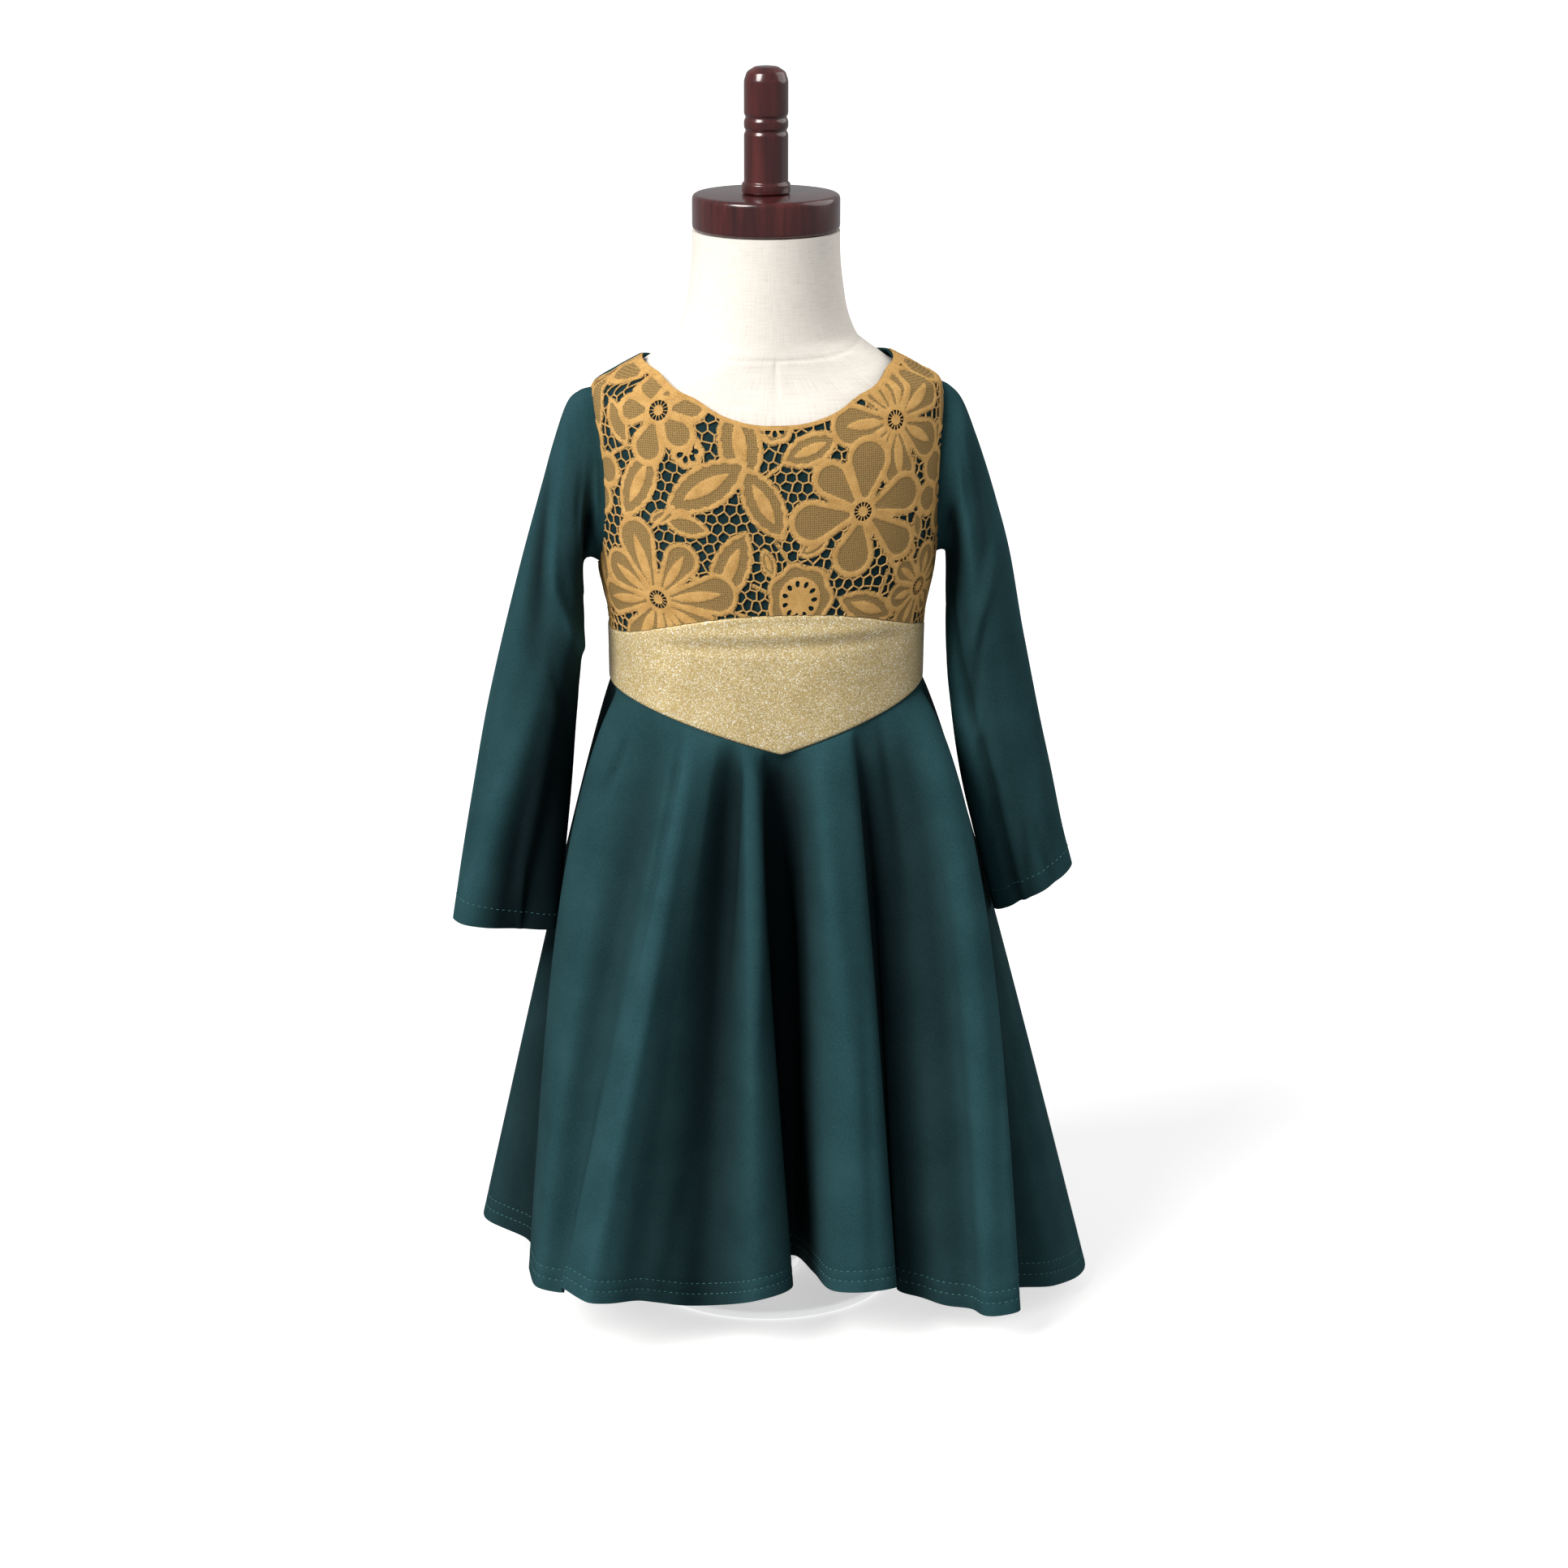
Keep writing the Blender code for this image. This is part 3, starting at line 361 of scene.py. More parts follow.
def rgb(red, green, blue):
    """Linear colour of an sRGB colour given from 0 to 255."""
    return tuple((v / 255 / 12.92) if v <= 10 else ((v / 255 + 0.055) / 1.055) ** 2.4
                 for v in (red, green, blue))


def knit_material():
    """Dense dark teal jersey."""
    material, shader, add, link = new_material("green_knit", 0.95, 0.03)
    place = add("ShaderNodeTexCoord").outputs["Object"]
    broad = add("ShaderNodeTexNoise", {"Vector": place, "Scale": 26.0, "Detail": 3.0}).outputs["Fac"]
    grain = add("ShaderNodeTexNoise", {"Vector": place, "Scale": 1300.0, "Detail": 2.0}).outputs["Fac"]
    part = add("ShaderNodeMath", {0: broad, 1: 0.45, 2: 0.0}, operation="MULTIPLY_ADD").outputs[0]
    half = add("ShaderNodeMath", {0: grain, 1: 0.55, 2: part}, operation="MULTIPLY_ADD").outputs[0]
    colour = ramp(add, half, ((0.36, rgb(32, 61, 66)), (0.64, rgb(43, 76, 81))))
    # Painted shade: this attribute darkens the knit in folds, under the lace and on the sleeves' sides.
    shade_amount = add("ShaderNodeAttribute", attribute_name="painted_shade").outputs["Fac"]
    inside = ramp(add, shade_amount, ((0.0, (1.0, 1.0, 1.0)), (0.45, (0.70, 0.62, 0.61)), (1.0, (0.34, 0.25, 0.25))))
    dark = add("ShaderNodeMix", data_type="RGBA", blend_type="MULTIPLY")
    dark.inputs[0].default_value = 1.0
    link.new(colour, dark.inputs[6])
    link.new(inside, dark.inputs[7])
    link.new(dark.outputs[2], shader.inputs["Base Color"])
    bump = add("ShaderNodeBump", {"Height": grain, "Strength": 0.35, "Distance": 0.0006})
    link.new(bump.outputs["Normal"], shader.inputs["Normal"])
    return material


KNIT = knit_material()
print("Materials so far:", KNIT.name)

# %% [markdown]
# ## The turned wood and the stand
#
# Cap and finial are turned on a lathe, so each is a profile spun about the Z axis. Real edges are
# broken by sandpaper: every corner of the profile gets a small round before it is spun, and that
# round is what catches the light. Varnished mahogany is a dark red-brown under a clear coat.

# %% Turned pieces
LATHE_SIDES = 96
# By corner of a profile: radius and height.
FINIAL = (
    ("tip", 0.0, 822.0), ("crown", 7.5, 821.2), ("shoulder", 12.4, 818.0), ("cheek", 14.2, 812.5),
    ("upper_rim", 14.2, 791.5), ("upper_groove", 12.9, 789.5), ("upper_lip", 14.2, 787.5),
    ("lower_rim", 14.2, 783.0), ("lower_groove", 12.9, 781.0), ("lower_lip", 14.2, 779.0),
    ("shaft_foot", 14.2, 748.5), ("collar_top", 15.6, 747.5), ("collar_foot", 15.6, 742.0),
    ("seat_edge", 14.8, 741.3), ("seat", 0.0, 741.3),
)
CAP = (
    ("top", 0.0, 741.0), ("upper_edge", 47.5, 741.0), ("lower_edge", 47.5, 718.0), ("bottom", 0.0, 718.0),
)
BASE = (
    ("hub_top", 0.0, 14.0), ("hub_edge", 22.0, 14.0), ("hub_foot", 22.0, 6.0), ("rim_top", 85.0, 6.0),
    ("rim_foot", 85.0, 0.0), ("underside", 0.0, 0.0),
)
POST = (("top", 0.0, 325.7), ("upper_edge", 12.5, 325.7), ("lower_edge", 12.5, 14.3), ("bottom", 0.0, 14.3))
# The paint's glow stands in for the light that a real white floor throws up on it.
PAINT_GLOW = 0.5


def rounded(profile, radius, steps=4):
    """A profile with every corner off the axis rounded."""
    points = [np.array(row[1:], float) for row in profile]
    line = [points[0]]
    for before, corner, after in zip(points, points[1:], points[2:]):
        one, two = unit(before - corner), unit(after - corner)
        reach = min(radius, 0.45 * np.linalg.norm(before - corner), 0.45 * np.linalg.norm(after - corner))
        a, b = corner + one * reach, corner + two * reach
        for step in range(steps + 1):
            t = step / steps
            line.append(a * (1 - t) ** 2 + corner * 2 * t * (1 - t) + b * t * t)
    return np.array(line + [points[-1]])


def lathe(name, profile, material, radius):
    """A turned piece about the Z axis, closed at both ends."""
    line = rounded(profile, radius)
    turns = np.linspace(0, 2 * pi, LATHE_SIDES, endpoint=False)
    body = line[1:-1]
    ring = np.stack((np.cos(turns), np.sin(turns)), -1)
    skin = np.concatenate([np.column_stack((ring * r, np.full(LATHE_SIDES, z))) for r, z in body])
    verts = np.concatenate((skin, [[0, 0, line[0, 1]], [0, 0, line[-1, 1]]]))
    r, c = np.meshgrid(np.arange(len(body) - 1), np.arange(LATHE_SIDES), indexing="ij")
    d = (c + 1) % LATHE_SIDES
    quads = np.stack((r * LATHE_SIDES + c, (r + 1) * LATHE_SIDES + c, (r + 1) * LATHE_SIDES + d,
                      r * LATHE_SIDES + d), -1).reshape(-1, 4)
    c = np.arange(LATHE_SIDES)
    d = (c + 1) % LATHE_SIDES
    last = (len(body) - 1) * LATHE_SIDES
    top = np.stack((np.full_like(c, len(skin)), c, d), -1)
    foot = np.stack((np.full_like(c, len(skin) + 1), last + d, last + c), -1)
    return new_mesh_object(name, verts, quads.tolist() + top.tolist() + foot.tolist(), material, sharp=50)


def wood_material():
    """Dark varnished mahogany with a faint grain along the turning axis."""
    material, shader, add, link = new_material("mahogany", 0.26, 0.4)
    shader.inputs["Coat Weight"].default_value = 0.6
    shader.inputs["Coat Roughness"].default_value = 0.08
    place = add("ShaderNodeTexCoord").outputs["Object"]
    stretched = add("ShaderNodeMapping", {"Vector": place, "Scale": (160.0, 160.0, 14.0)})
    grain = add("ShaderNodeTexNoise", {"Vector": stretched.outputs["Vector"], "Scale": 1.0, "Detail": 5.0,
                                       "Roughness": 0.6, "Distortion": 0.4}).outputs["Fac"]
    colour = ramp(add, grain, ((0.30, rgb(46, 16, 17)), (0.55, rgb(70, 25, 25)), (0.75, rgb(88, 36, 33))))
    link.new(colour, shader.inputs["Base Color"])
    bump = add("ShaderNodeBump", {"Height": grain, "Strength": 0.12, "Distance": 0.0004})
    link.new(bump.outputs["Normal"], shader.inputs["Normal"])
    return material


def paint_material():
    """Satin white paint on steel, with a trace of orange peel."""
    material, shader, add, link = new_material("white_paint", 0.55, 0.3)
    place = add("ShaderNodeTexCoord").outputs["Object"]
    peel = add("ShaderNodeTexNoise", {"Vector": place, "Scale": 420.0, "Detail": 1.0}).outputs["Fac"]
    colour = ramp(add, peel, ((0.3, (0.84, 0.84, 0.83)), (0.7, (0.88, 0.88, 0.87))))
    link.new(colour, shader.inputs["Base Color"])
    shader.inputs["Emission Color"].default_value = (1, 1, 1, 1)
    shader.inputs["Emission Strength"].default_value = PAINT_GLOW
    bump = add("ShaderNodeBump", {"Height": peel, "Strength": 0.1, "Distance": 0.0003})
    link.new(bump.outputs["Normal"], shader.inputs["Normal"])
    return material


WOOD, PAINT = wood_material(), paint_material()
finish_piece(lathe("finial_turned", FINIAL, WOOD, 1.2), "mahogany", "finial")
finish_piece(lathe("neck_cap_turned", CAP, WOOD, 3.6), "mahogany", "neck_cap")
finish_piece(lathe("base_plate_turned", BASE, PAINT, 2.0), "painted_steel", "base_plate")
finish_piece(lathe("post_turned", POST, PAINT, 1.0), "painted_steel", "post")

# %% [markdown]
# ## The linen form
#
# The torso is foam covered in fine linen. Its cover has a seam round the neck root and
# seams down the centre and sides, and the weave shows as faint threads. The seams are shallow
# grooves in the mesh, so its rows and columns lie closer together where a seam runs.

# %% The form
FORM_EASE = (
    ("hip", 348.0, 9.0), ("below_band", 391.0, 5.0), ("waist", 429.0, 1.3), ("midriff", 504.0, 1.3),
    ("chest", 564.0, 3.2), ("shoulder", 619.0, 4.4), ("neck_root", 649.0, 1.5), ("neck", 677.0, 0.5),
)
KNIT_WALL = 1.5
FORM_BOTTOM, FORM_RING, NECK_TOP, FORM_TOP = 326.0, 348.0, 709.0, 717.7
FORM_FOOT = ((0.0, 0.80), (0.6, 0.87), (2.5, 0.92), (5.0, 0.96), (9.0, 0.985))
NECK_SEAM, NECK_SEAM_RISE = 642.0, 9.0
SEAM_DEPTH, SEAM_HALF_WIDTH = 0.45, 0.9
MAP_RADIUS = 80.0


def form_turns():
    """Turns round the form, closer together at the four seams."""
    even = np.linspace(0, 2 * pi, 120, endpoint=False)
    near = np.radians([-2.4, -1.6, -1.0, -0.5, 0.5, 1.0, 1.6, 2.4])
    extra = np.concatenate([(quarter + near) % (2 * pi) for quarter in (0, pi / 2, pi, 3 * pi / 2)])
    return np.unique(np.round(np.concatenate((even, extra)), 6))


def linen_material():
    """Off-white linen: thick and thin threads both ways, seen through bump and a faint tint."""
    material, shader, add, link = new_material("linen", 0.92, 0.15)
    place = add("ShaderNodeTexCoord").outputs["UV"]
    threads = []
    for scale in ((1500.0, 60.0, 1.0), (60.0, 1500.0, 1.0)):
        mapped = add("ShaderNodeMapping", {"Vector": place, "Scale": scale})
        threads.append(add("ShaderNodeTexNoise", {"Vector": mapped.outputs["Vector"], "Scale": 1.0,
                                                  "Detail": 2.0}).outputs["Fac"])
    woven = add("ShaderNodeMath", {0: threads[0], 1: threads[1]}, operation="ADD").outputs[0]
    half = add("ShaderNodeMath", {0: woven, 1: 0.5}, operation="MULTIPLY").outputs[0]
    colour = ramp(add, half, ((0.34, rgb(222, 214, 204)), (0.5, rgb(234, 228, 219)),
                              (0.7, rgb(240, 235, 227))))
    link.new(colour, shader.inputs["Base Color"])
    bump = add("ShaderNodeBump", {"Height": half, "Strength": 0.25, "Distance": 0.0005})
    link.new(bump.outputs["Normal"], shader.inputs["Normal"])
    return material


def make_form():
    """The limbless torso, closed at the foot and at the neck."""
    turns = form_turns()
    heights = np.concatenate((np.arange(FORM_RING, 600, 8.0), np.arange(600, 632, 3.0),
                              np.arange(632, 664, 1.1), np.arange(664, NECK_TOP, 5.0), [NECK_TOP]))
    turn, height = np.meshgrid(turns, heights)
    ease = smooth(column(FORM_EASE, 1), column(FORM_EASE, 2), height)
    seam = NECK_SEAM + NECK_SEAM_RISE * np.sin(turn) ** 2
    groove = np.exp(-((height - seam) / SEAM_HALF_WIDTH) ** 2)
    radius = np.interp(height, DENSE, SECTIONS[0])
    off = np.abs((turn + pi / 4) % (pi / 2) - pi / 4) * radius
    groove = np.maximum(groove, np.exp(-(off / SEAM_HALF_WIDTH) ** 2) * (height < seam))
    skin = on_torso(turn, height, -KNIT_WALL - ease - SEAM_DEPTH * groove)
    foot = [np.column_stack((skin[0, :, :2] * shrink, np.full(len(turns), FORM_BOTTOM + rise)))
            for rise, shrink in FORM_FOOT]
    top = np.column_stack((skin[-1, :, :2], np.full(len(turns), FORM_TOP)))
    rings = np.concatenate((np.array(foot), skin, top[None]))
    rows, count = rings.shape[:2]
    verts = rings.reshape(-1, 3)
    r, c = np.meshgrid(np.arange(rows - 1), np.arange(count), indexing="ij")
    d = (c + 1) % count
    quads = np.stack((r * count + c, r * count + d, (r + 1) * count + d, (r + 1) * count + c),
                     -1).reshape(-1, 4)
    c = np.arange(count)
    ends = [np.stack((np.full(count, rows * count), (c + 1) % count, c), -1),
            np.stack((np.full(count, rows * count + 1), (rows - 1) * count + c,
                      (rows - 1) * count + (c + 1) % count), -1)]
    verts = np.concatenate((verts, [[0, 0, FORM_BOTTOM], [0, 0, FORM_TOP]]))
    faces = quads.tolist() + ends[0].tolist() + ends[1].tolist()
    form = new_mesh_object("form_linen", verts, faces, linen_material(), sharp=50)
    unroll(form.data, np.concatenate((np.tile(turns, rows), [0, 0])), verts[:, 2])
    return form


def unroll(mesh, turns, heights):
    """A UV map in real metres, from each point's turn and height, that closes at the back."""
    loops = np.zeros(len(mesh.loops), np.int32)
    mesh.loops.foreach_get("vertex_index", loops)
    around, up = turns[loops] * MAP_RADIUS * MM, heights[loops] * MM
    starts = np.zeros(len(mesh.polygons), np.int32)
    totals = np.zeros(len(mesh.polygons), np.int32)
    mesh.polygons.foreach_get("loop_start", starts)
    mesh.polygons.foreach_get("loop_total", totals)
    face = np.repeat(np.arange(len(starts)), totals)
    widest = np.maximum.reduceat(around, starts)[face]
    half_way = pi * MAP_RADIUS * MM
    around = np.where(widest - around > half_way, around + 2 * half_way, around)
    layer = mesh.uv_layers.new(name="UVMap")
    layer.data.foreach_set("uv", np.stack((around, up), -1).astype(np.float32).ravel())


finish_piece(make_form(), "linen", "form_body")

# %% [markdown]
# ## Creases
#
# Cloth never lies dead smooth. A simulation gives creases, but not where the photo has them, so
# each crease here is a line with a height and a width on the cloth's own flat map. A point near
# the line is lifted or sunk by a soft bell, which fades towards both ends of the line.

# %% Crease helper
def crease_lift(across, along, creases):
    """How far a list of creases moves the points of a flat map, all in millimetres."""
    lift = np.zeros(np.broadcast(across, along).shape)
    for _, x0, y0, x1, y1, height, half_width in creases:
        dx, dy = x1 - x0, y1 - y0
        t = np.clip(((across - x0) * dx + (along - y0) * dy) / (dx * dx + dy * dy), 0, 1)
        gap = np.hypot(across - x0 - dx * t, along - y0 - dy * t)
        lift += height * np.sin(pi * (0.12 + 0.76 * t)) * np.exp(-(gap / half_width) ** 2)
    return lift


# %% [markdown]
# ## The bodice
#
# The bodice is two knit panels, cut with a round neck and hollow armholes. Each half is a patch
# blended between its four edges: waist, centre, side with armhole, and neckline with shoulder. The
# back gets short drag lines from the armholes and a few rolls above the waistband.

# %% Bodice panels
FRONT_NECKLINE = (("centre", 0, 603.0), ("inner", 11, 607.5), ("curve", 25, 620.5), ("side", 55, 634.0),
                  ("shoulder", 90, 639.0))
BACK_NECKLINE = (("centre", 0, 625.0), ("inner", 20, 627.0), ("side", 55, 634.0), ("shoulder", 90, 639.0))
SHOULDER_TIP, UNDERARM = 619.0, 504.0
FRONT_ARMHOLE_TURN, BACK_ARMHOLE_TURN = radians(20), radians(17)
NECK_SHARE, NECK_CROWDING, SIDE_SHARE = 0.62, 1.3, 2 / 11
BAND_SIDE_LOW, BAND_SIDE_HIGH = 424.0, 461.0
BAND_FRONT_LOW, BAND_FRONT_HIGH = 391.0, 483.0
SEAM = 0.3
PANEL_COLUMNS, PANEL_ROWS = 50, 66
# Painted shade on the knit that lies under the lace, from 0 to 1.
SHADE_UNDER_LACE = 0.6
BACK_RADIUS, BACK_CALM_EDGE = 92.0, 8.0

# By crease: start and end across and up the back in mm, height and half width.
BACK_CREASES = (
    ("left_armhole_drag", 96, 540, 52, 520, 0.9, 7.0), ("right_armhole_drag", -98, 536, -50, 512, 1.0, 7.0),
    ("left_blade_line", 84, 575, 46, 560, 0.7, 8.0), ("right_blade_line", -80, 580, -44, 558, 0.7, 8.0),
    ("waist_roll", -60, 476, 58, 479, 1.1, 5.0), ("short_roll", 10, 490, 88, 494, 0.8, 5.0),
    ("right_short_roll", -96, 489, -30, 493, 0.9, 5.0),
)


def band_edge(turn, side, front, back, sag):
    """Height of a waistband edge between the side and the centre front or back."""
    centre = np.where(np.cos(turn) >= 0, front, back)
    return centre + (side - centre) * np.abs(np.sin(turn)) ** sag


def band_low(turn):
    """Height of the waistband's lower edge, which dips to a point in front."""
    return band_edge(turn, BAND_SIDE_LOW, BAND_FRONT_LOW, BAND_SIDE_LOW, 0.95)


def band_high(turn):
    """Height of the waistband's upper edge."""
    return band_edge(turn, BAND_SIDE_HIGH, BAND_FRONT_HIGH, BAND_SIDE_HIGH, 2.0)


def neck_height(table, turn):
    """Height of a neckline at a turn from its centre."""
    return smooth(np.radians(column(table, 1)) ** 2, column(table, 2), np.asarray(turn) ** 2)


def half_panel(table, armhole_turn, bottom):
    """Turns and heights of half a panel, blended from its four edges."""
    u = np.linspace(0, 1, PANEL_COLUMNS + 1)
    v = np.linspace(0, 1, PANEL_ROWS + 1)
    low = np.stack((u * EDGE_TURN, bottom(u * EDGE_TURN)), -1)
    neck_turn = np.minimum(u / NECK_SHARE, 1) ** NECK_CROWDING * EDGE_TURN
    past = np.clip((u - NECK_SHARE) / (1 - NECK_SHARE), 0, 1)
    height = neck_height(table, neck_turn)
    top = np.stack((neck_turn, height + (SHOULDER_TIP - height[-1]) * past), -1)
    centre = np.stack((0 * v, low[0, 1] + (top[0, 1] - low[0, 1]) * v), -1)
    swing = pi * np.clip((v - SIDE_SHARE) / (1 - SIDE_SHARE), 0, 1)
    middle, reach = (UNDERARM + SHOULDER_TIP) / 2, (SHOULDER_TIP - UNDERARM) / 2
    rise = low[-1, 1] + (UNDERARM - low[-1, 1]) * v / SIDE_SHARE
    side = np.stack((EDGE_TURN - armhole_turn * np.sin(swing),
                     np.where(v < SIDE_SHARE, rise, middle - reach * np.cos(swing))), -1)
    u, v = u[None, :, None], v[:, None, None]
    corners = (1 - u) * ((1 - v) * low[0] + v * top[0]) + u * ((1 - v) * low[-1] + v * top[-1])
    return (1 - v) * low + v * top + (1 - u) * centre[:, None] + u * side[:, None] - corners


def whole_panel(half, middle):
    """Both halves of a panel as one grid of turns and heights, about a middle turn."""
    other = half[:, :0:-1].copy()
    other[..., 0] *= -1
    whole = np.concatenate((other, half), 1)
    return whole[..., 0] + middle, whole[..., 1]


def make_bodice():
    """The front and back knit panels."""
    front = whole_panel(half_panel(FRONT_NECKLINE, FRONT_ARMHOLE_TURN, lambda t: band_high(t) + SEAM), 0.0)
    back = whole_panel(half_panel(BACK_NECKLINE, BACK_ARMHOLE_TURN, lambda t: band_high(pi - t) + SEAM), pi)
    outer = on_torso(*front)
    # The front panel lies under the lace and gets painted shade all over.
    shade = {"painted_shade": np.full(front[0].shape, SHADE_UNDER_LACE)}
    panels = [wall("bodice_front_knit", outer, on_torso(*front, -KNIT_WALL), KNIT, facts=shade)]
    turn, height = back
    lift = crease_lift((pi - turn) * BACK_RADIUS, height, BACK_CREASES)
    lift = lift * np.minimum(1, (height - band_high(turn)) / BACK_CALM_EDGE)
    panels.append(wall("bodice_back_knit", on_torso(turn, height, lift),
                       on_torso(turn, height, lift - KNIT_WALL), KNIT))
    return panels


bodice_front, bodice_back = make_bodice()
finish_piece(bodice_front, "knit", "bodice_front")
finish_piece(bodice_back, "knit", "bodice_back")

# %% [markdown]
# ## The lace: a drawing that is measured, not painted
#
# Guipure-like lace has dense clothwork round each petal, a fine net inside it and open ground with
# thin bars between the flowers. A texture could fake it, but real gaps look right from every side.
# So the flat front is a drawing made of distances: every petal, leaf and rosette says how far a
# point is inside it. Where the distance is above zero there is lace, and near an outline there is
# clothwork. The flowers, leaves and rosettes are common garden kinds, laid out afresh, and a
# narrow border of clothwork follows the neckline.

# %% Lace drawing
# By flower: across and up in mm, petals, reach, tip radius, first petal in degrees, veined or not.
LACE_FLOWERS = (
    ("breast_flower", 53, 548, 6, 46, 14.5, 16, False),
    ("left_shoulder_flower", 76, 603, 7, 44, 13, 24, True),
    ("waist_flower", -84, 492, 8, 50, 13.5, 12, True),
    ("right_shoulder_flower", -76, 612, 6, 33, 11.5, 8, False),
    ("left_side_flower", 122, 553, 5, 30, 12.5, 52, False),
    ("right_side_flower", -134, 568, 5, 31, 12, 20, False),
    ("left_low_flower", 104, 493, 6, 30, 10.5, 75, True),
)
# By leaf: across and up in mm, half length, half width, lean in degrees, veined or not.
LACE_LEAVES = (
    ("throat_leaf", -25, 592, 28, 14.5, 96, True),
    ("chest_leaf", -47, 566, 31, 14.5, 30, True),
    ("heart_leaf", -11, 555, 27, 13, 118, True),
    ("armhole_leaf", -92, 566, 27, 12.5, 62, True),
    ("neck_leaf", 19, 588, 21, 10.5, 22, True),
    ("low_right_leaf", -34, 514, 28, 13, 64, True),
    ("under_leaf", -60, 541, 16, 7.5, 165, False),
    ("low_left_leaf", 62, 485, 24, 11, 160, True),
    ("left_side_leaf", 143, 512, 24, 11, 80, True),
    ("right_low_leaf", -137, 506, 28, 13, 96, True),
    ("collar_leaf", 38, 620, 18, 8, 118, False),
    ("left_arm_leaf", 110, 586, 17, 8.5, 50, False),
    ("right_arm_leaf", -106, 603, 17, 8.5, 120, False),
    ("left_tip_leaf", 130, 606, 19, 10, 64, False),
    ("left_seam_leaf", 132, 628, 24, 9, 4, False),
    ("right_tip_leaf", -132, 612, 20, 11, 112, False),
    ("right_seam_leaf", -128, 631, 24, 8, 176, False),
    ("middle_bud", 21, 527, 12, 6.5, 28, True),
    ("low_bud", -9, 517, 11, 5.5, 108, True),
    ("neck_bud", 27, 572, 10, 5, 140, False),
    ("waist_bud", -52, 500, 12, 6, 130, True),
    ("side_bud", 96, 534, 10, 5, 100, False),
    ("breast_bud", -76, 546, 10, 5, 20, False),
)
# By stem between motifs: start and end across and up in mm, and the half width at both.
LACE_STEMS = (
    ("heart_stem", -4, 531, 7, 514, 1.5, 1.2), ("rosette_stem", -20, 503, -8, 497, 1.4, 1.4),
    ("breast_stem", 36, 517, 31, 505, 1.3, 1.6), ("chest_stem", -68, 553, -84, 538, 1.6, 1.2),
    ("throat_stem", 3, 581, -8, 573, 1.3, 1.5), ("low_left_stem", 74, 508, 70, 494, 1.4, 1.4),
    ("shoulder_stem", -96, 590, -112, 583, 1.4, 1.4), ("arm_stem", 101, 574, 112, 568, 1.4, 1.4),
    ("waist_stem", -45, 489, -24, 482, 1.5, 1.3), ("side_stem", 128, 524, 136, 530, 1.4, 1.4),
)
# By rosette: across and up in mm, radius, eyelets.
LACE_ROSETTES = (
    ("low_rosette", 13, 493, 24, 11), ("side_rosette", 84, 518, 12, 8),
    ("neck_rosette", -3, 604, 13, 8), ("right_rosette", -58, 588, 11, 7),
)
CLOTHWORK = 4.4
EYE_MIDDLE, EYE_HALF, EYE_SPOKES = 4.6, 1.5, 14
PETAL_START, PETAL_ROOT, FLOWER_DISC = 6.0, 4.5, 9.0
EYELET_RING, ROSETTE_HEART, EYELET_HALF, EYELET_LONG = 0.44, 0.62, 1.55, 1.5
NECK_BORDER = 2.8
NOWHERE = -1000.0


def wedge(x, z, start, end, low_radius, high_radius):
    """Signed distance to a round-ended wedge, which makes a petal: negative inside."""
    dx, dz = end[0] - start[0], end[1] - start[1]
    length = hypot(dx, dz)
    dx, dz = dx / length, dz / length
    px, pz = x - start[0], z - start[1]
    along, aside = px * dx + pz * dz, np.abs(pz * dx - px * dz)
    lean = (low_radius - high_radius) / length
    rise = sqrt(1 - lean * lean)
    place = along * rise - aside * lean
    low = np.hypot(aside, along) - low_radius
    high = np.hypot(aside, along - length) - high_radius
    return np.where(place < 0, low, np.where(place > length * rise, high,
                                             aside * rise + along * lean - low_radius))


def leaf(x, z, centre, half_length, half_width, lean):
    """Signed distance to a pointed leaf with a gently notched edge."""
    px, pz = x - centre[0], z - centre[1]
    along = np.abs(px * cos(lean) + pz * sin(lean))
    aside = np.abs(pz * cos(lean) - px * sin(lean))
    radius = (half_length ** 2 + half_width ** 2) / (2 * half_width)
    off = radius - half_width
    notch = 0.45 * min(max((half_width - 5) / 6, 0), 1) * np.sin(along * 2 * pi / 6.5)
    arc = np.hypot(along, aside + off) - radius + notch
    tip = np.hypot(along - half_length, aside)
    return np.where(along * off > half_length * (aside + off), tip, arc)


def draw_flower(x, z, row, seed):
    """How far points are inside a flower, and inside its clothwork."""
    _, across, up, petals, reach, tip, start, veined = row
    solid, work = np.full(x.shape, NOWHERE), np.full(x.shape, NOWHERE)
    for petal in range(petals):
        lean = radians(start) + 2 * pi * (petal + 0.12 * sin(seed * 2.1 + petal * 1.7)) / petals
        far = reach * (1 + 0.08 * sin(seed + petal * 2.9)) - tip
        radius = tip * (1 + 0.1 * sin(seed * 1.3 + petal * 2.3))
        way = np.array((cos(lean), sin(lean)))
        middle = np.array((across, up))
        inside = -wedge(x, z, middle + way * PETAL_START, middle + way * far, PETAL_ROOT, radius)
        solid = np.maximum(solid, inside)
        work = np.maximum(work, np.minimum(inside, CLOTHWORK * (0.78 if veined else 1) - inside))
        if veined:
            heart = middle + way * (PETAL_START + far * 0.5)
            blade = leaf(x, z, heart, (far - 2) * 0.46, radius * 0.24, lean)
            work = np.maximum(work, -blade)
    disc = FLOWER_DISC - np.hypot(x - across, z - up)
    return np.maximum(solid, disc), np.maximum(work, disc)


def draw_leaf(x, z, row):
    """How far points are inside a leaf, and inside its clothwork."""
    _, across, up, half_length, half_width, lean, veined = row
    inside = -leaf(x, z, (across, up), half_length, half_width, radians(lean))
    work = np.minimum(inside, min(CLOTHWORK * 0.75, half_width * 0.42) - inside)
    if veined:
        work = np.maximum(work, -leaf(x, z, (across, up), half_length * 0.55, half_width * 0.3,
                                      radians(lean)))
    return inside, work


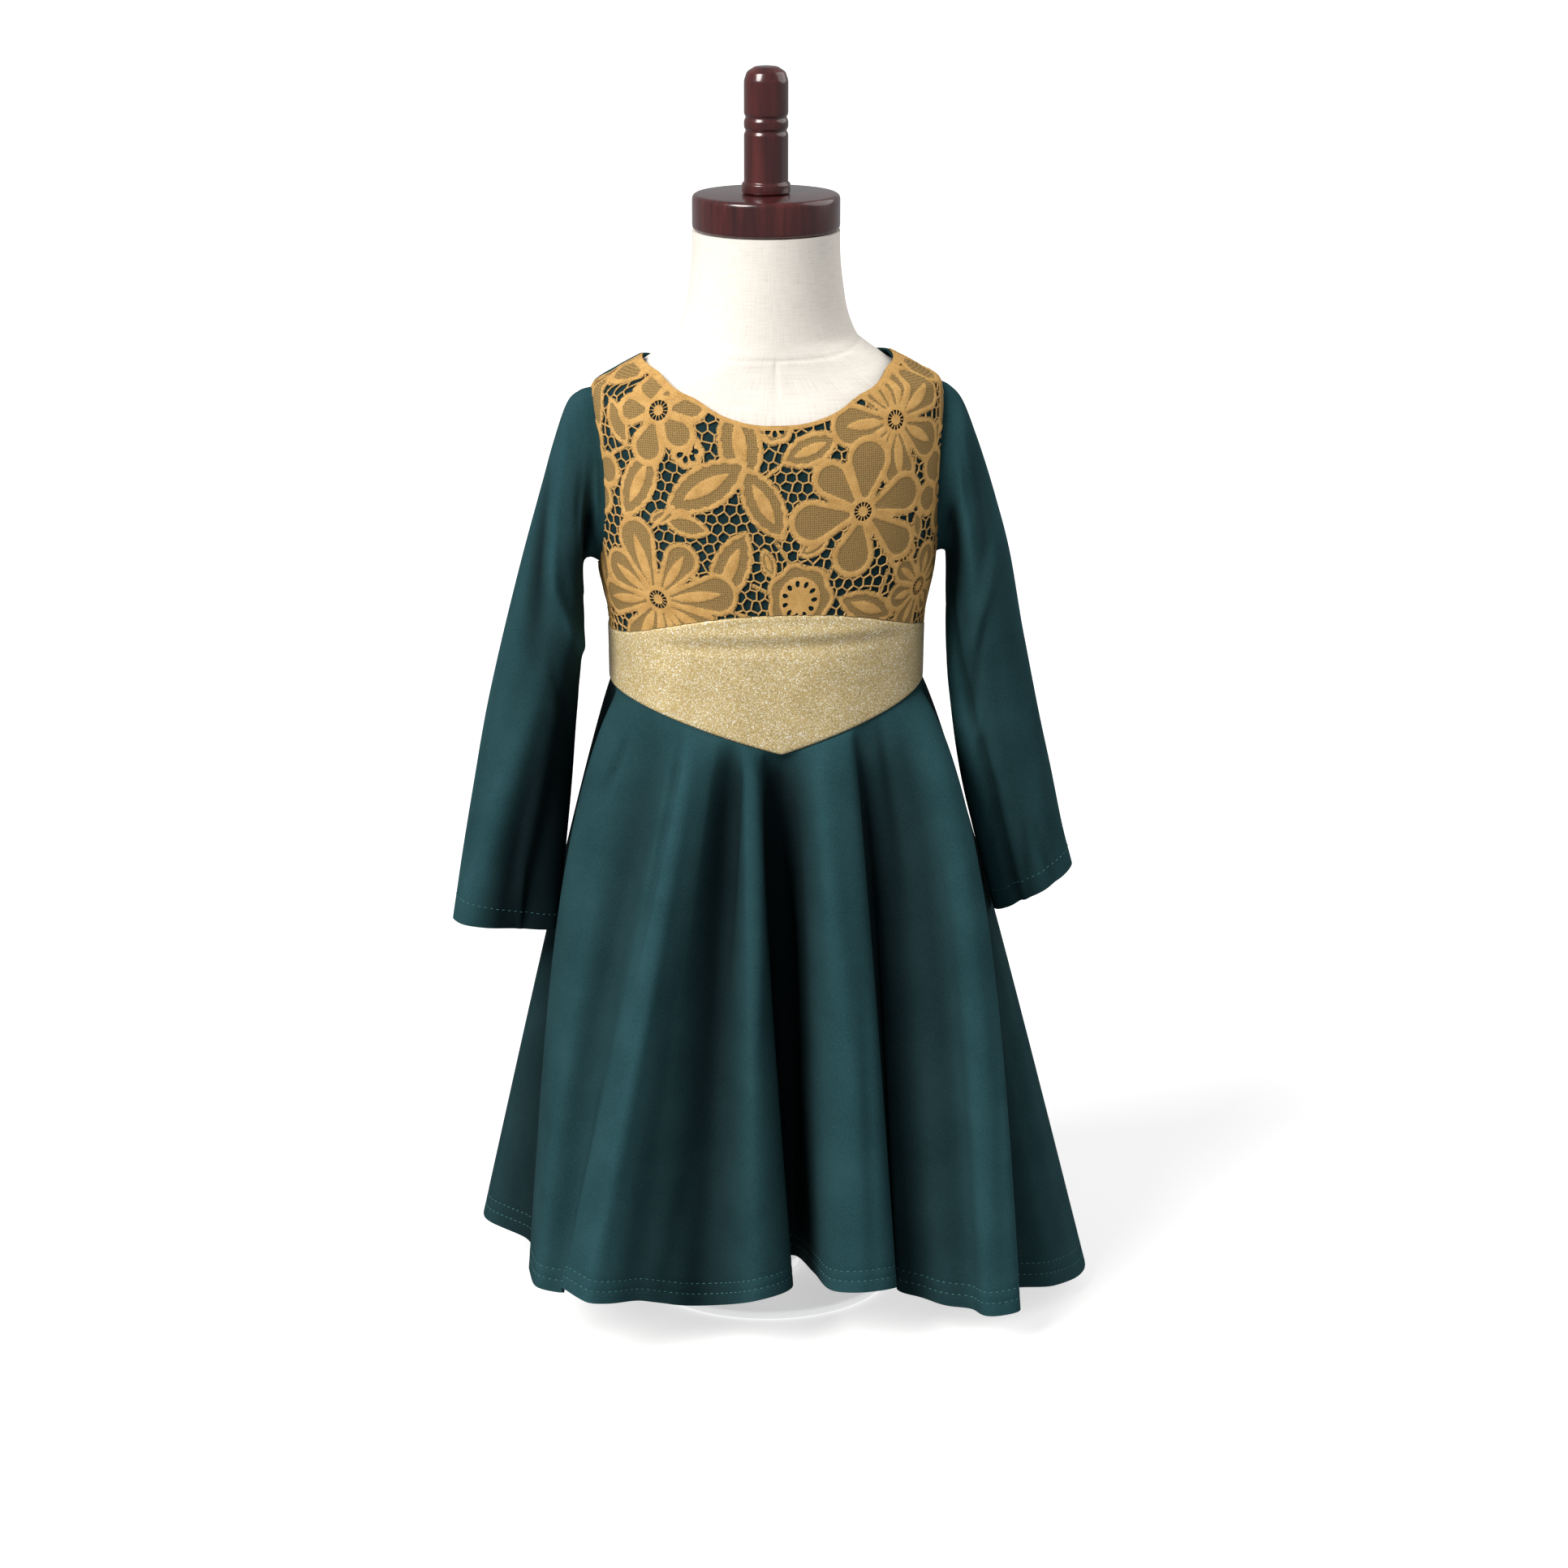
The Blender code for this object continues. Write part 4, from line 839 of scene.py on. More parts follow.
def draw_rosette(x, z, row):
    """How far points are inside a rosette, inside its clothwork and inside its eyelets."""
    _, across, up, radius, eyelets = row
    far, turn = np.hypot(x - across, z - up), np.arctan2(z - up, x - across)
    inside = radius * (1 + 0.05 * np.cos(turn * 7)) - far
    work = np.maximum(np.minimum(inside, CLOTHWORK * 0.8 - inside), radius * ROSETTE_HEART - far)
    step, ring = 2 * pi / eyelets, radius * EYELET_RING
    near = ((turn + step / 2) % step - step / 2) * ring
    return inside, work, EYELET_HALF - np.hypot((far - ring) / EYELET_LONG, near)


def draw_lace(x, z):
    """The whole drawing: how far points are inside the lace, and inside its clothwork."""
    solid, work = np.full(x.shape, NOWHERE), np.full(x.shape, NOWHERE)
    gaps = np.full(x.shape, NOWHERE)
    for row in LACE_LEAVES:
        inside, dense = draw_leaf(x, z, row)
        work, solid = np.where(inside > 0, dense, work), np.maximum(solid, inside)
    for _, x0, z0, x1, z1, low, high in LACE_STEMS:
        inside = -wedge(x, z, (x0, z0), (x1, z1), low, high)
        work, solid = np.where(inside > 0, inside, work), np.maximum(solid, inside)
    for row in LACE_ROSETTES:
        inside, dense, eyelets = draw_rosette(x, z, row)
        work, solid = np.where(inside > 0, dense, work), np.maximum(solid, inside)
        gaps = np.where(inside > 0, np.maximum(gaps, eyelets), gaps)
    for seed in reversed(range(len(LACE_FLOWERS))):
        inside, dense = draw_flower(x, z, LACE_FLOWERS[seed], seed)
        work, solid = np.where(inside > 0, dense, work), np.maximum(solid, inside)
        gaps = np.where(inside > 1, NOWHERE, gaps)
    for row in LACE_FLOWERS:
        eye = EYE_HALF - np.abs(np.hypot(x - row[1], z - row[2]) - EYE_MIDDLE)
        gaps = np.maximum(gaps, eye)
    return np.minimum(solid, -gaps), work


# %% [markdown]
# ## From the drawing to a mesh on the dress
#
# The drawing lies on an unrolled front: distance from the centre front and height. A grid of small
# squares keeps those whose middle is in the lace, and the corners on its rim then slide onto the
# true outline, which makes round edges from square cells. Two skins and a rim make it a thin solid,
# thicker where there is clothwork, and the whole is rolled back onto the bodice.

# %% Lace mesh
LACE_PITCH, LACE_LIFT, LACE_NET, LACE_RELIEF = 0.95, 0.4, 0.55, 0.38
LACE_LEVEL = 544.0
LACE_REACH, LACE_FOOT, LACE_TOP = 156, 458, 642
GIRTH_TURNS = np.linspace(0, pi / 2, 721)
GIRTHS = np.concatenate(([0], np.cumsum(np.linalg.norm(np.diff(torso_points(
    GIRTH_TURNS, np.full(721, LACE_LEVEL)), axis=0), axis=1))))


def girth_turn(x):
    """Turn at an unrolled distance from the centre front."""
    return np.sign(x) * np.interp(np.abs(x), GIRTHS, GIRTH_TURNS)


def inside_panel(x, z):
    """How far points of the flat front are inside the front panel's edges."""
    turn = np.abs(girth_turn(x))
    middle, reach = (UNDERARM + SHOULDER_TIP) / 2, (SHOULDER_TIP - UNDERARM) / 2
    hollow = FRONT_ARMHOLE_TURN * np.sqrt(np.clip(1 - ((z - middle) / reach) ** 2, 0, 1))
    side = np.interp(EDGE_TURN - hollow, GIRTH_TURNS, GIRTHS) - np.abs(x)
    low = z - band_high(turn) - SEAM
    return np.minimum(np.minimum(low, neck_height(FRONT_NECKLINE, turn) - z), side)


def lace_field(x, z):
    """How far points are inside the lace that is kept, and inside its clothwork."""
    solid, work = draw_lace(x, z)
    to_neck = neck_height(FRONT_NECKLINE, np.abs(girth_turn(x))) - z
    border = np.minimum(to_neck, NECK_BORDER - to_neck)
    solid, work = np.maximum(solid, border), np.maximum(work, border)
    return np.minimum(solid, inside_panel(x, z)), work


def slide_to_rim(x, z, rim):
    """Move the rim's corners along the drawing's slope until they lie on its outline."""
    step = 0.25
    for _ in range(3):
        here = lace_field(x[rim], z[rim])[0]
        right = lace_field(x[rim] + step, z[rim])[0] - lace_field(x[rim] - step, z[rim])[0]
        up = lace_field(x[rim], z[rim] + step)[0] - lace_field(x[rim], z[rim] - step)[0]
        right, up = right / (2 * step), up / (2 * step)
        pull = np.clip(here / np.maximum(right ** 2 + up ** 2, 0.25), -0.45, 0.45)
        x[rim] -= pull * right
        z[rim] -= pull * up
    return x, z


def kept_cells(x, z):
    """Which squares of the grid are lace, without squares that meet only at a corner."""
    keep = lace_field(x[:-1, :-1] + LACE_PITCH / 2, z[:-1, :-1] + LACE_PITCH / 2)[0] > 0
    for _ in range(4):
        a, b, c, d = keep[:-1, :-1], keep[:-1, 1:], keep[1:, :-1], keep[1:, 1:]
        rising, falling = a & d & ~b & ~c, b & c & ~a & ~d
        keep[:-1, :-1] &= ~rising
        keep[:-1, 1:] &= ~falling
    return keep


def lace_mesh(material):
    """The lace motifs as one thin solid on the bodice front."""
    x, z = np.meshgrid(np.arange(-LACE_REACH, LACE_REACH, LACE_PITCH),
                       np.arange(LACE_FOOT, LACE_TOP, LACE_PITCH))
    keep = kept_cells(x, z)
    rows, columns = x.shape
    pad = np.pad(keep, 1)
    count = pad[:-1, :-1].astype(int) + pad[:-1, 1:] + pad[1:, :-1] + pad[1:, 1:]
    x, z = slide_to_rim(x, z, (count > 0) & (count < 4))
    work = np.where(count > 0, lace_field(x, z)[1], 0)
    relief = LACE_NET + LACE_RELIEF * np.clip((work + 0.4) / 1.2, 0, 1) ** 0.7
    turn = girth_turn(x)
    outer = on_torso(turn, z, LACE_LIFT + relief).reshape(-1, 3)
    inner = on_torso(turn, z, LACE_LIFT).reshape(-1, 3)
    r, c = np.nonzero(keep)
    a, b = r * columns + c, r * columns + c + 1
    e, f = (r + 1) * columns + c + 1, (r + 1) * columns + c
    far = rows * columns
    skin = np.stack((a, b, e, f), -1)
    faces = [skin, skin[:, ::-1] + far]
    for start, end, there in ((a, b, pad[r, c + 1]), (b, e, pad[r + 1, c + 2]),
                              (e, f, pad[r + 2, c + 1]), (f, a, pad[r + 1, c])):
        s, t = start[~there], end[~there]
        faces.append(np.stack((t, s, s + far, t + far), -1))
    faces = np.concatenate(faces)
    used, faces = np.unique(faces, return_inverse=True)
    faces = faces.reshape(-1, 4)
    verts = np.concatenate((outer, inner))[used]
    flat = np.tile(np.stack((x.ravel(), z.ravel()), -1), (2, 1))[used]
    dense = np.tile(work.ravel(), 2)[used]
    return new_mesh_object("lace_motifs", verts, turn_out(verts, faces), material, flat,
                           {"clothwork": dense}, sharp=60)


def lace_material():
    """Mustard lace: matt clothwork with fuzzy edges, and a fine khaki net between."""
    material, shader, add, link = new_material("mustard_lace", 0.95, 0.06)
    place = add("ShaderNodeTexCoord").outputs["UV"]
    work = add("ShaderNodeAttribute", attribute_name="clothwork").outputs["Fac"]
    fuzz = add("ShaderNodeTexNoise", {"Vector": place, "Scale": 900.0, "Detail": 3.0}).outputs["Fac"]
    shifted = add("ShaderNodeMath", {0: fuzz, 1: 2.4, 2: -1.1}, operation="MULTIPLY_ADD").outputs[0]
    edge = add("ShaderNodeMath", {0: work, 1: shifted}, operation="ADD").outputs[0]
    dense = add("ShaderNodeMapRange", {"Value": edge, "From Min": -0.15, "From Max": 0.25}).outputs["Result"]
    broad = add("ShaderNodeTexNoise", {"Vector": place, "Scale": 120.0, "Detail": 4.0}).outputs["Fac"]
    thread = add("ShaderNodeTexNoise", {"Vector": place, "Scale": 1700.0, "Detail": 2.0}).outputs["Fac"]
    part = add("ShaderNodeMath", {0: broad, 1: 0.3, 2: 0.0}, operation="MULTIPLY_ADD").outputs[0]
    half = add("ShaderNodeMath", {0: thread, 1: 0.7, 2: part}, operation="MULTIPLY_ADD").outputs[0]
    cloth = ramp(add, half, ((0.36, rgb(162, 121, 68)), (0.5, rgb(200, 157, 94)),
                             (0.66, rgb(222, 179, 116))))
    mesh = add("ShaderNodeTexVoronoi", {"Vector": place, "Scale": 720.0, "Randomness": 0.35},
               feature="DISTANCE_TO_EDGE").outputs["Distance"]
    net = ramp(add, mesh, ((0.05, rgb(166, 134, 84)), (0.20, rgb(124, 101, 64)), (0.40, rgb(92, 80, 55))))
    mixed = add("ShaderNodeMix", data_type="RGBA")
    for source, socket in ((dense, 0), (net, 6), (cloth, 7)):
        link.new(source, mixed.inputs[socket])
    link.new(mixed.outputs[2], shader.inputs["Base Color"])
    height = add("ShaderNodeMath", {0: thread, 1: dense}, operation="MULTIPLY").outputs[0]
    bump = add("ShaderNodeBump", {"Height": height, "Strength": 0.6, "Distance": 0.0007})
    link.new(bump.outputs["Normal"], shader.inputs["Normal"])
    return material


LACE = lace_material()
lace = finish_piece(lace_mesh(LACE), "lace", "lace_front")

# %% [markdown]
# ## Bars across the open ground
#
# Between the flowers the lace is only bars, which lace makers call brides. Their pattern is like
# foam: the borders between scattered points, or Voronoi cells. Blender's Delaunay triangulation
# gives the neighbours, and the centres of neighbouring triangles joined up are the borders. Those
# lines lie on the bodice, and Geometry Nodes turn them into cords. Shorter cords are the spokes
# in the ring of gaps round each flower's eye.

# %% Bars
BAR_SPACING, BAR_JITTER, BAR_RADIUS, BAR_PARTS = 7.2, 1.5, 0.62, 4
BAR_SEED, BAR_MARGIN, ROW_SHARE = 4, 10, 0.87
BAR_OVERLAP, BAR_INSET, EYE_CLEAR = 0.6, 0.4, 8.0
SPOKE_RADIUS, SPOKE_OVERLAP, CORD_LIFT, CORD_SIDES = 0.36, 0.4, 0.45, 6


def node_tree(name, inputs):
    """An empty Geometry Nodes tree with a mesh going in and out, and named inputs."""
    tree = bpy.data.node_groups.new(name, "GeometryNodeTree")
    tree.interface.new_socket("Geometry", in_out="INPUT", socket_type="NodeSocketGeometry")
    for key, kind, value in inputs:
        socket = tree.interface.new_socket(key, in_out="INPUT", socket_type=kind)
        if value is not None:
            socket.default_value = value
    tree.interface.new_socket("Geometry", in_out="OUTPUT", socket_type="NodeSocketGeometry")
    start, end = tree.nodes.new("NodeGroupInput"), tree.nodes.new("NodeGroupOutput")

    def close(geometry):
        tree.links.new(geometry, end.inputs["Geometry"])

    return tree, start, adder(tree), close


def run_tree(source, tree, values, name):
    """Run a tree on an object and keep the result as a plain mesh object."""
    modifier = source.modifiers.new("nodes", "NODES")
    modifier.node_group = tree
    for item in tree.interface.items_tree:
        if getattr(item, "in_out", "") == "INPUT" and item.name in values:
            modifier[item.identifier] = values[item.name]
    graph = bpy.context.evaluated_depsgraph_get()
    graph.update()
    mesh = bpy.data.meshes.new_from_object(source.evaluated_get(graph))
    mesh.name = name
    source.modifiers.clear()
    old = source.data
    bpy.data.objects.remove(source)
    bpy.data.meshes.remove(old)
    item = bpy.data.objects.new(name, mesh)
    bpy.context.scene.collection.objects.link(item)
    return item


def line_object(name, verts, edges):
    """A mesh of bare edges, from points in millimetres."""
    mesh = bpy.data.meshes.new(name)
    mesh.from_pydata((np.asarray(verts) * MM).tolist(), np.asarray(edges).tolist(), [])
    item = bpy.data.objects.new(name, mesh)
    bpy.context.scene.collection.objects.link(item)
    return item


def cord_tree():
    """Edges become round cords, welded where they meet."""
    tree, start, add, close = node_tree("cords_on_edges", (
        ("Radius", "NodeSocketFloat", 0.0005), ("Sides", "NodeSocketInt", 6),
        ("Material", "NodeSocketMaterial", None)))
    welded = add("GeometryNodeMergeByDistance", {"Geometry": start.outputs["Geometry"], "Distance": 0.00005})
    curve = add("GeometryNodeMeshToCurve", {"Mesh": welded.outputs["Geometry"]})
    ring = add("GeometryNodeCurvePrimitiveCircle", {"Resolution": start.outputs["Sides"],
                                                    "Radius": start.outputs["Radius"]})
    cord = add("GeometryNodeCurveToMesh", {"Curve": curve.outputs["Curve"],
                                           "Profile Curve": ring.outputs["Curve"], "Fill Caps": True})
    real = add("GeometryNodeRealizeInstances", {"Geometry": cord.outputs["Mesh"]})
    shaded = add("GeometryNodeSetShadeSmooth", {"Geometry": real.outputs["Geometry"]})
    dressed = add("GeometryNodeSetMaterial", {"Geometry": shaded.outputs["Geometry"],
                                              "Material": start.outputs["Material"]})
    close(dressed.outputs["Geometry"])
    return tree


def bar_lines():
    """Borders of the cells between scattered points, cut to the open ground."""
    rng = np.random.default_rng(BAR_SEED)
    points = []
    across = LACE_REACH + BAR_MARGIN
    for row, z in enumerate(np.arange(LACE_FOOT - 12, LACE_TOP + 14, BAR_SPACING * ROW_SHARE)):
        for x in np.arange(-across, across + 1, BAR_SPACING):
            shift = rng.uniform(-BAR_JITTER, BAR_JITTER, 2)
            points.append(Vector((x + (row % 2) * BAR_SPACING / 2 + shift[0], z + shift[1])))
    spots, _, triangles, *_ = delaunay_2d_cdt(points, [], [], 0, 0.001)
    a, b, c = (np.array([[spots[t[k]].x, spots[t[k]].y] for t in triangles]) for k in range(3))
    ab, ac = b - a, c - a
    cross = 2 * (ab[:, 0] * ac[:, 1] - ab[:, 1] * ac[:, 0])
    b2, c2 = (ab ** 2).sum(1), (ac ** 2).sum(1)
    centres = a + np.stack(((ac[:, 1] * b2 - ab[:, 1] * c2) / cross,
                            (ab[:, 0] * c2 - ac[:, 0] * b2) / cross), -1)
    sides = {}
    for index, triangle in enumerate(triangles):
        for k in range(3):
            key = tuple(sorted((triangle[k], triangle[(k + 1) % 3])))
            sides.setdefault(key, []).append(index)
    pairs = np.array([pair for pair in sides.values() if len(pair) == 2])
    t = np.linspace(0, 1, BAR_PARTS + 1)[None, :, None]
    line = centres[pairs[:, 0]][:, None] * (1 - t) + centres[pairs[:, 1]][:, None] * t
    middle = (line[:, :-1] + line[:, 1:]) / 2
    x, z = middle[..., 0], middle[..., 1]
    keep = (draw_lace(x, z)[0] < BAR_OVERLAP) & (inside_panel(x, z) > BAR_INSET)
    for row in LACE_FLOWERS:
        keep &= np.hypot(x - row[1], z - row[2]) > EYE_CLEAR
    for row in LACE_ROSETTES:
        keep &= np.hypot(x - row[1], z - row[2]) > row[3] * 0.7
    starts, ends = line[:, :-1][keep], line[:, 1:][keep]
    return np.concatenate((starts, ends)), len(starts)


def eye_lines():
    """Short spokes across the ring of gaps round each flower's eye."""
    lines = []
    for row in LACE_FLOWERS:
        turn = np.arange(EYE_SPOKES) * 2 * pi / EYE_SPOKES
        way = np.stack((np.cos(turn), np.sin(turn)), -1)
        middle = np.array(row[1:3], float)
        half = EYE_HALF + SPOKE_OVERLAP
        lines.append(np.stack((middle + way * (EYE_MIDDLE - half), middle + way * (EYE_MIDDLE + half)), 1))
    lines = np.concatenate(lines)
    middle = lines.mean(1)
    lines = lines[inside_panel(middle[:, 0], middle[:, 1]) > 1]
    return np.concatenate((lines[:, 0], lines[:, 1])), len(lines)


def thread_material(name, low, high):
    """Spun thread: a matt colour with a fine uneven grain."""
    material, shader, add, link = new_material(name, 0.85, 0.15)
    place = add("ShaderNodeTexCoord").outputs["Object"]
    grain = add("ShaderNodeTexNoise", {"Vector": place, "Scale": 1500.0, "Detail": 2.0}).outputs["Fac"]
    link.new(ramp(add, grain, ((0.35, rgb(*low)), (0.65, rgb(*high)))), shader.inputs["Base Color"])
    return material


BAR_THREAD = thread_material("lace_bar_thread", (152, 118, 70), (210, 168, 106))
CORDS = cord_tree()
for piece_name, (spots, many), radius in (("lace_bars", bar_lines(), BAR_RADIUS),
                                          ("lace_eyes", eye_lines(), SPOKE_RADIUS)):
    places = on_torso(girth_turn(spots[:, 0]), spots[:, 1], LACE_LIFT + CORD_LIFT)
    edges = np.stack((np.arange(many), np.arange(many) + many), -1)
    bars = run_tree(line_object(piece_name + "_lines", places, edges), CORDS,
                    {"Radius": radius * MM, "Sides": CORD_SIDES, "Material": BAR_THREAD}, piece_name)
    finish_piece(bars, "lace")

# %% [markdown]
# ## The glitter waistband
#
# The band is a shaped facing of knit fused with glitter. Flakes about half a millimetre wide lie
# at all angles, so some flash and some stay dark. A Voronoi pattern gives each flake its own tilt
# and its own colour, which is partly the gold's own tone and partly painted light: the near-white
# flakes are painted glints. The band is soft: its edges are turned under, and a long roll runs
# below its top.

# %% Waistband
BAND_PROUD, BAND_WALL = 1.5, 2.0
BAND_TURN_UNDER, BAND_EDGE_DROP = 2.6, 0.9
BAND_RADIUS, CREASE_RADIUS, CALM_EDGE, CALM_END = 100.0, 95.0, 10.0, 12.0
# By crease: start and end round the band and up in mm, height and half width.
BAND_CREASES = (
    ("long_roll", -74, 470, 84, 471, 1.3, 4.2), ("long_trough", -70, 461, 78, 462.5, -1.1, 4.0),
    ("right_soft", -96, 446, -52, 440, 0.5, 6.0), ("left_soft", 60, 446, 102, 452, 0.5, 6.0),
    ("point_drag", -14, 432, 2, 404, 0.5, 6.0), ("low_drag", 20, 436, 58, 424, -0.4, 7.0),
    ("back_roll", 196, 448, 300, 447, 0.8, 4.5), ("back_trough", 205, 440, 290, 440, -0.6, 4.0),
)


def glitter_material():
    """Gold flakes on pale gold cloth."""
    material, shader, add, link = new_material("gold_glitter", 0.5, 0.5, metallic=0.2)
    place = add("ShaderNodeTexCoord").outputs["Object"]
    flakes = add("ShaderNodeTexVoronoi", {"Vector": place, "Scale": 1900.0, "Randomness": 1.0})
    parts = add("ShaderNodeSeparateColor", {"Color": flakes.outputs["Color"]})
    # Each flake's colour: gold tones from dark to pale, and near-white flakes that are painted glints.
    colour = ramp(add, parts.outputs["Red"], (
        (0.0, rgb(150, 126, 78)), (0.14, rgb(196, 171, 116)), (0.5, rgb(214, 190, 134)),
        (0.84, rgb(220, 197, 144)), (0.89, rgb(255, 250, 226)), (1.0, rgb(255, 255, 250))))
    broad = add("ShaderNodeTexNoise", {"Vector": place, "Scale": 38.0, "Detail": 3.0}).outputs["Fac"]
    tint = ramp(add, broad, ((0.35, (0.90, 0.89, 0.86)), (0.65, (1.0, 1.0, 1.0))))
    mixed = add("ShaderNodeMix", data_type="RGBA", blend_type="MULTIPLY")
    mixed.inputs[0].default_value = 1.0
    link.new(colour, mixed.inputs[6])
    link.new(tint, mixed.inputs[7])
    link.new(mixed.outputs[2], shader.inputs["Base Color"])
    bump = add("ShaderNodeBump", {"Height": parts.outputs["Green"], "Strength": 0.5, "Distance": 0.0007})
    link.new(bump.outputs["Normal"], shader.inputs["Normal"])
    return material


def make_band(name, start, end, material):
    """Half of the band, with turned edges and its roll."""
    turns = np.linspace(start, end, 181)
    share = np.concatenate((np.linspace(0, 0.05, 6), np.linspace(0.07, 0.93, 34), np.linspace(0.95, 1, 6)))
    turn, share = np.meshgrid(turns, share)
    low, high = band_low(turn), band_high(turn)
    height = low + (high - low) * share
    from_edge = np.minimum(share, 1 - share) * (high - low)
    from_end = np.minimum(turn - start, end - turn) * BAND_RADIUS
    edge = np.clip(from_edge / BAND_TURN_UNDER, 0, 1)
    drop = BAND_EDGE_DROP * (1 - np.sqrt(1 - (1 - edge) ** 2))
    roll = crease_lift(turn * CREASE_RADIUS, height, BAND_CREASES)
    fade = np.clip(from_edge / CALM_EDGE, 0, 1) * np.clip(from_end / CALM_END, 0, 1)
    outer = on_torso(turn, height, BAND_PROUD - drop + roll * fade)
    inner = on_torso(turn, height, BAND_PROUD - BAND_WALL + np.minimum(roll, 0) * fade)
    return wall(name, outer, inner, material)


GLITTER = glitter_material()
band_front = make_band("waistband_front_glitter", -EDGE_TURN, EDGE_TURN, GLITTER)
band_back = make_band("waistband_back_glitter", pi - EDGE_TURN, pi + EDGE_TURN, GLITTER)
finish_piece(band_front, "glitter_cloth", "waistband_front")
finish_piece(band_back, "glitter_cloth", "waistband_back")

# %% [markdown]
# ## The sleeves
#
# A sleeve is lofted: it starts as the armhole ring and passes through a table of sections down to
# the cuff. The soft folds of the solid sleeve stay where they are, and finer creases are added
# where the arm would bend, under the arm and above the cuff, on the front and on the back.

# %% Sleeves
# By section: outer x and z, inner x and z, centre y and half depth, for the left side.
SLEEVE_LEFT = (
    ("cap", 121, 614, 116, 506, -1, 34), ("crown", 129, 604, 119, 502, -2, 36),
    ("upper", 139, 577, 120, 487, -3, 37), ("bicep", 150, 541, 120, 465, -4, 37),
    ("above_elbow", 160, 504, 122, 434, -6, 36), ("elbow", 170, 450, 127, 394, -8, 33),
    ("below_elbow", 180, 400, 133, 358, -11, 31), ("forearm", 189, 359, 140, 324, -14, 28),
    ("wrist", 197, 320, 146, 293, -17, 25), ("cuff", 204.0, 293, 152, 264, -19, 22),
)
SLEEVE_RIGHT = (
    ("cap", 121, 616, 116, 507, 0, 34), ("crown", 129, 608, 120, 503, 0, 36),
    ("upper", 138, 583, 120, 486, 0, 37), ("bicep", 149, 545, 120, 464, 0, 37),
    ("above_elbow", 161, 502, 122.5, 434, 1, 36), ("elbow", 174, 452, 126, 391, 1, 33),
    ("below_elbow", 185, 405, 129, 354, 1, 30), ("forearm", 194, 358, 133, 316, 0, 26),
    ("wrist", 203, 308, 137, 282, -1, 23), ("cuff", 210, 264, 139.5, 255, -2, 20),
)
# By fold: start and end as degrees round the sleeve and share of its length, height, half width.
SLEEVE_FOLDS = (
    ("head_gather", 110.0, 0.06, 60.0, 0.26, 2.2, 9.0), ("underarm_drag", 30.0, 0.10, 95.0, 0.36, 3.0, 9.0),
    ("elbow_roll", 20.0, 0.52, 120.0, 0.44, 2.6, 10.0), ("long_crease", 62.0, 0.40, 80.0, 0.98, 3.0, 8.0),
    ("outer_roll", 150.0, 0.62, 105.0, 0.95, 2.0, 10.0), ("back_drag", 330.0, 0.10, 250.0, 0.38, 3.0, 9.0),
    ("back_elbow", 340.0, 0.55, 230.0, 0.47, 2.6, 10.0),
    ("back_crease", 300.0, 0.50, 285.0, 0.97, 2.6, 9.0),
)
LEFT_CREASES = (
    ("inner_fold", 8.0, 0.34, 24.0, 0.98, 7.5, 14.0), ("fold_line_upper", 20.0, 0.34, 56.0, 0.74, -3.6, 4.0),
    ("fold_line_lower", 52.0, 0.66, 66.0, 1.25, -3.6, 4.0),
    ("underarm_pouch", 60.0, 0.06, 32.0, 0.36, -7.0, 9.0),
    ("underarm_second", 30.0, 0.30, 16.0, 0.48, -2.6, 6.0), ("upper_ridge", 84.0, 0.10, 74.0, 0.42, 2.2, 7.0),
    ("elbow_line", 34.0, 0.60, 82.0, 0.50, -1.6, 5.0), ("elbow_second", 30.0, 0.68, 60.0, 0.60, 1.4, 5.0),
    ("upper_soft", 128.0, 0.22, 104.0, 0.44, -1.4, 8.0), ("forearm_drag", 40.0, 0.84, 60.0, 0.74, -1.6, 5.0),
    ("cuff_pull", 74.0, 1.05, 90.0, 0.84, -1.6, 3.5), ("cuff_pull_two", 122.0, 1.05, 104.0, 0.86, -1.2, 3.5),
    ("cuff_pull_three", 98.0, 1.05, 98.0, 0.90, 1.0, 4.0), ("outer_line", 168.0, 0.30, 150.0, 0.56, 1.4, 8.0),
    ("back_line", 310.0, 0.20, 262.0, 0.33, -2.4, 6.0),
    ("back_low_line", 286.0, 0.60, 268.0, 0.96, -2.2, 6.0),
    ("back_pouch", 322.0, 0.05, 340.0, 0.32, -3.6, 8.0), ("back_soft", 220.0, 0.30, 244.0, 0.62, -1.6, 8.0),
)
RIGHT_CREASES = (
    ("underarm_pouch", 66.0, 0.08, 22.0, 0.27, -9.0, 9.0), ("pouch_lip", 104.0, 0.04, 60.0, 0.06, 1.6, 5.0),
    ("bulge", 6.0, 0.44, 58.0, 0.46, 5.0, 9.0), ("bulge_ridge", 152.0, 0.26, 96.0, 0.49, 3.4, 7.0),
    ("ridge_turn", 96.0, 0.46, 56.0, 0.46, 2.4, 7.0), ("outer_trough", 168.0, 0.36, 118.0, 0.55, -6.4, 9.0),
    ("inner_notch", 8.0, 0.33, 30.0, 0.38, -4.0, 7.0), ("inner_fall", 44.0, 0.56, 92.0, 1.5, -9.0, 20.0),
    ("slant_ridge", 84.0, 0.50, 150.0, 1.10, 3.4, 9.0), ("elbow_line", 30.0, 0.62, 84.0, 0.55, -1.6, 5.0),
    ("head_soft", 96.0, 0.10, 84.0, 0.28, -1.4, 7.0), ("forearm_soft", 88.0, 0.70, 100.0, 1.05, -1.4, 7.0),
    ("cuff_pull", 66.0, 1.05, 78.0, 0.87, 1.4, 3.5), ("outer_line", 160.0, 0.62, 168.0, 0.95, -1.4, 8.0),
    ("back_line", 306.0, 0.22, 258.0, 0.35, -2.4, 6.0),
    ("back_low_line", 290.0, 0.62, 270.0, 0.96, -2.2, 6.0),
    ("back_pouch", 318.0, 0.05, 338.0, 0.30, -3.6, 8.0), ("back_soft", 224.0, 0.28, 246.0, 0.60, -1.6, 8.0),
)
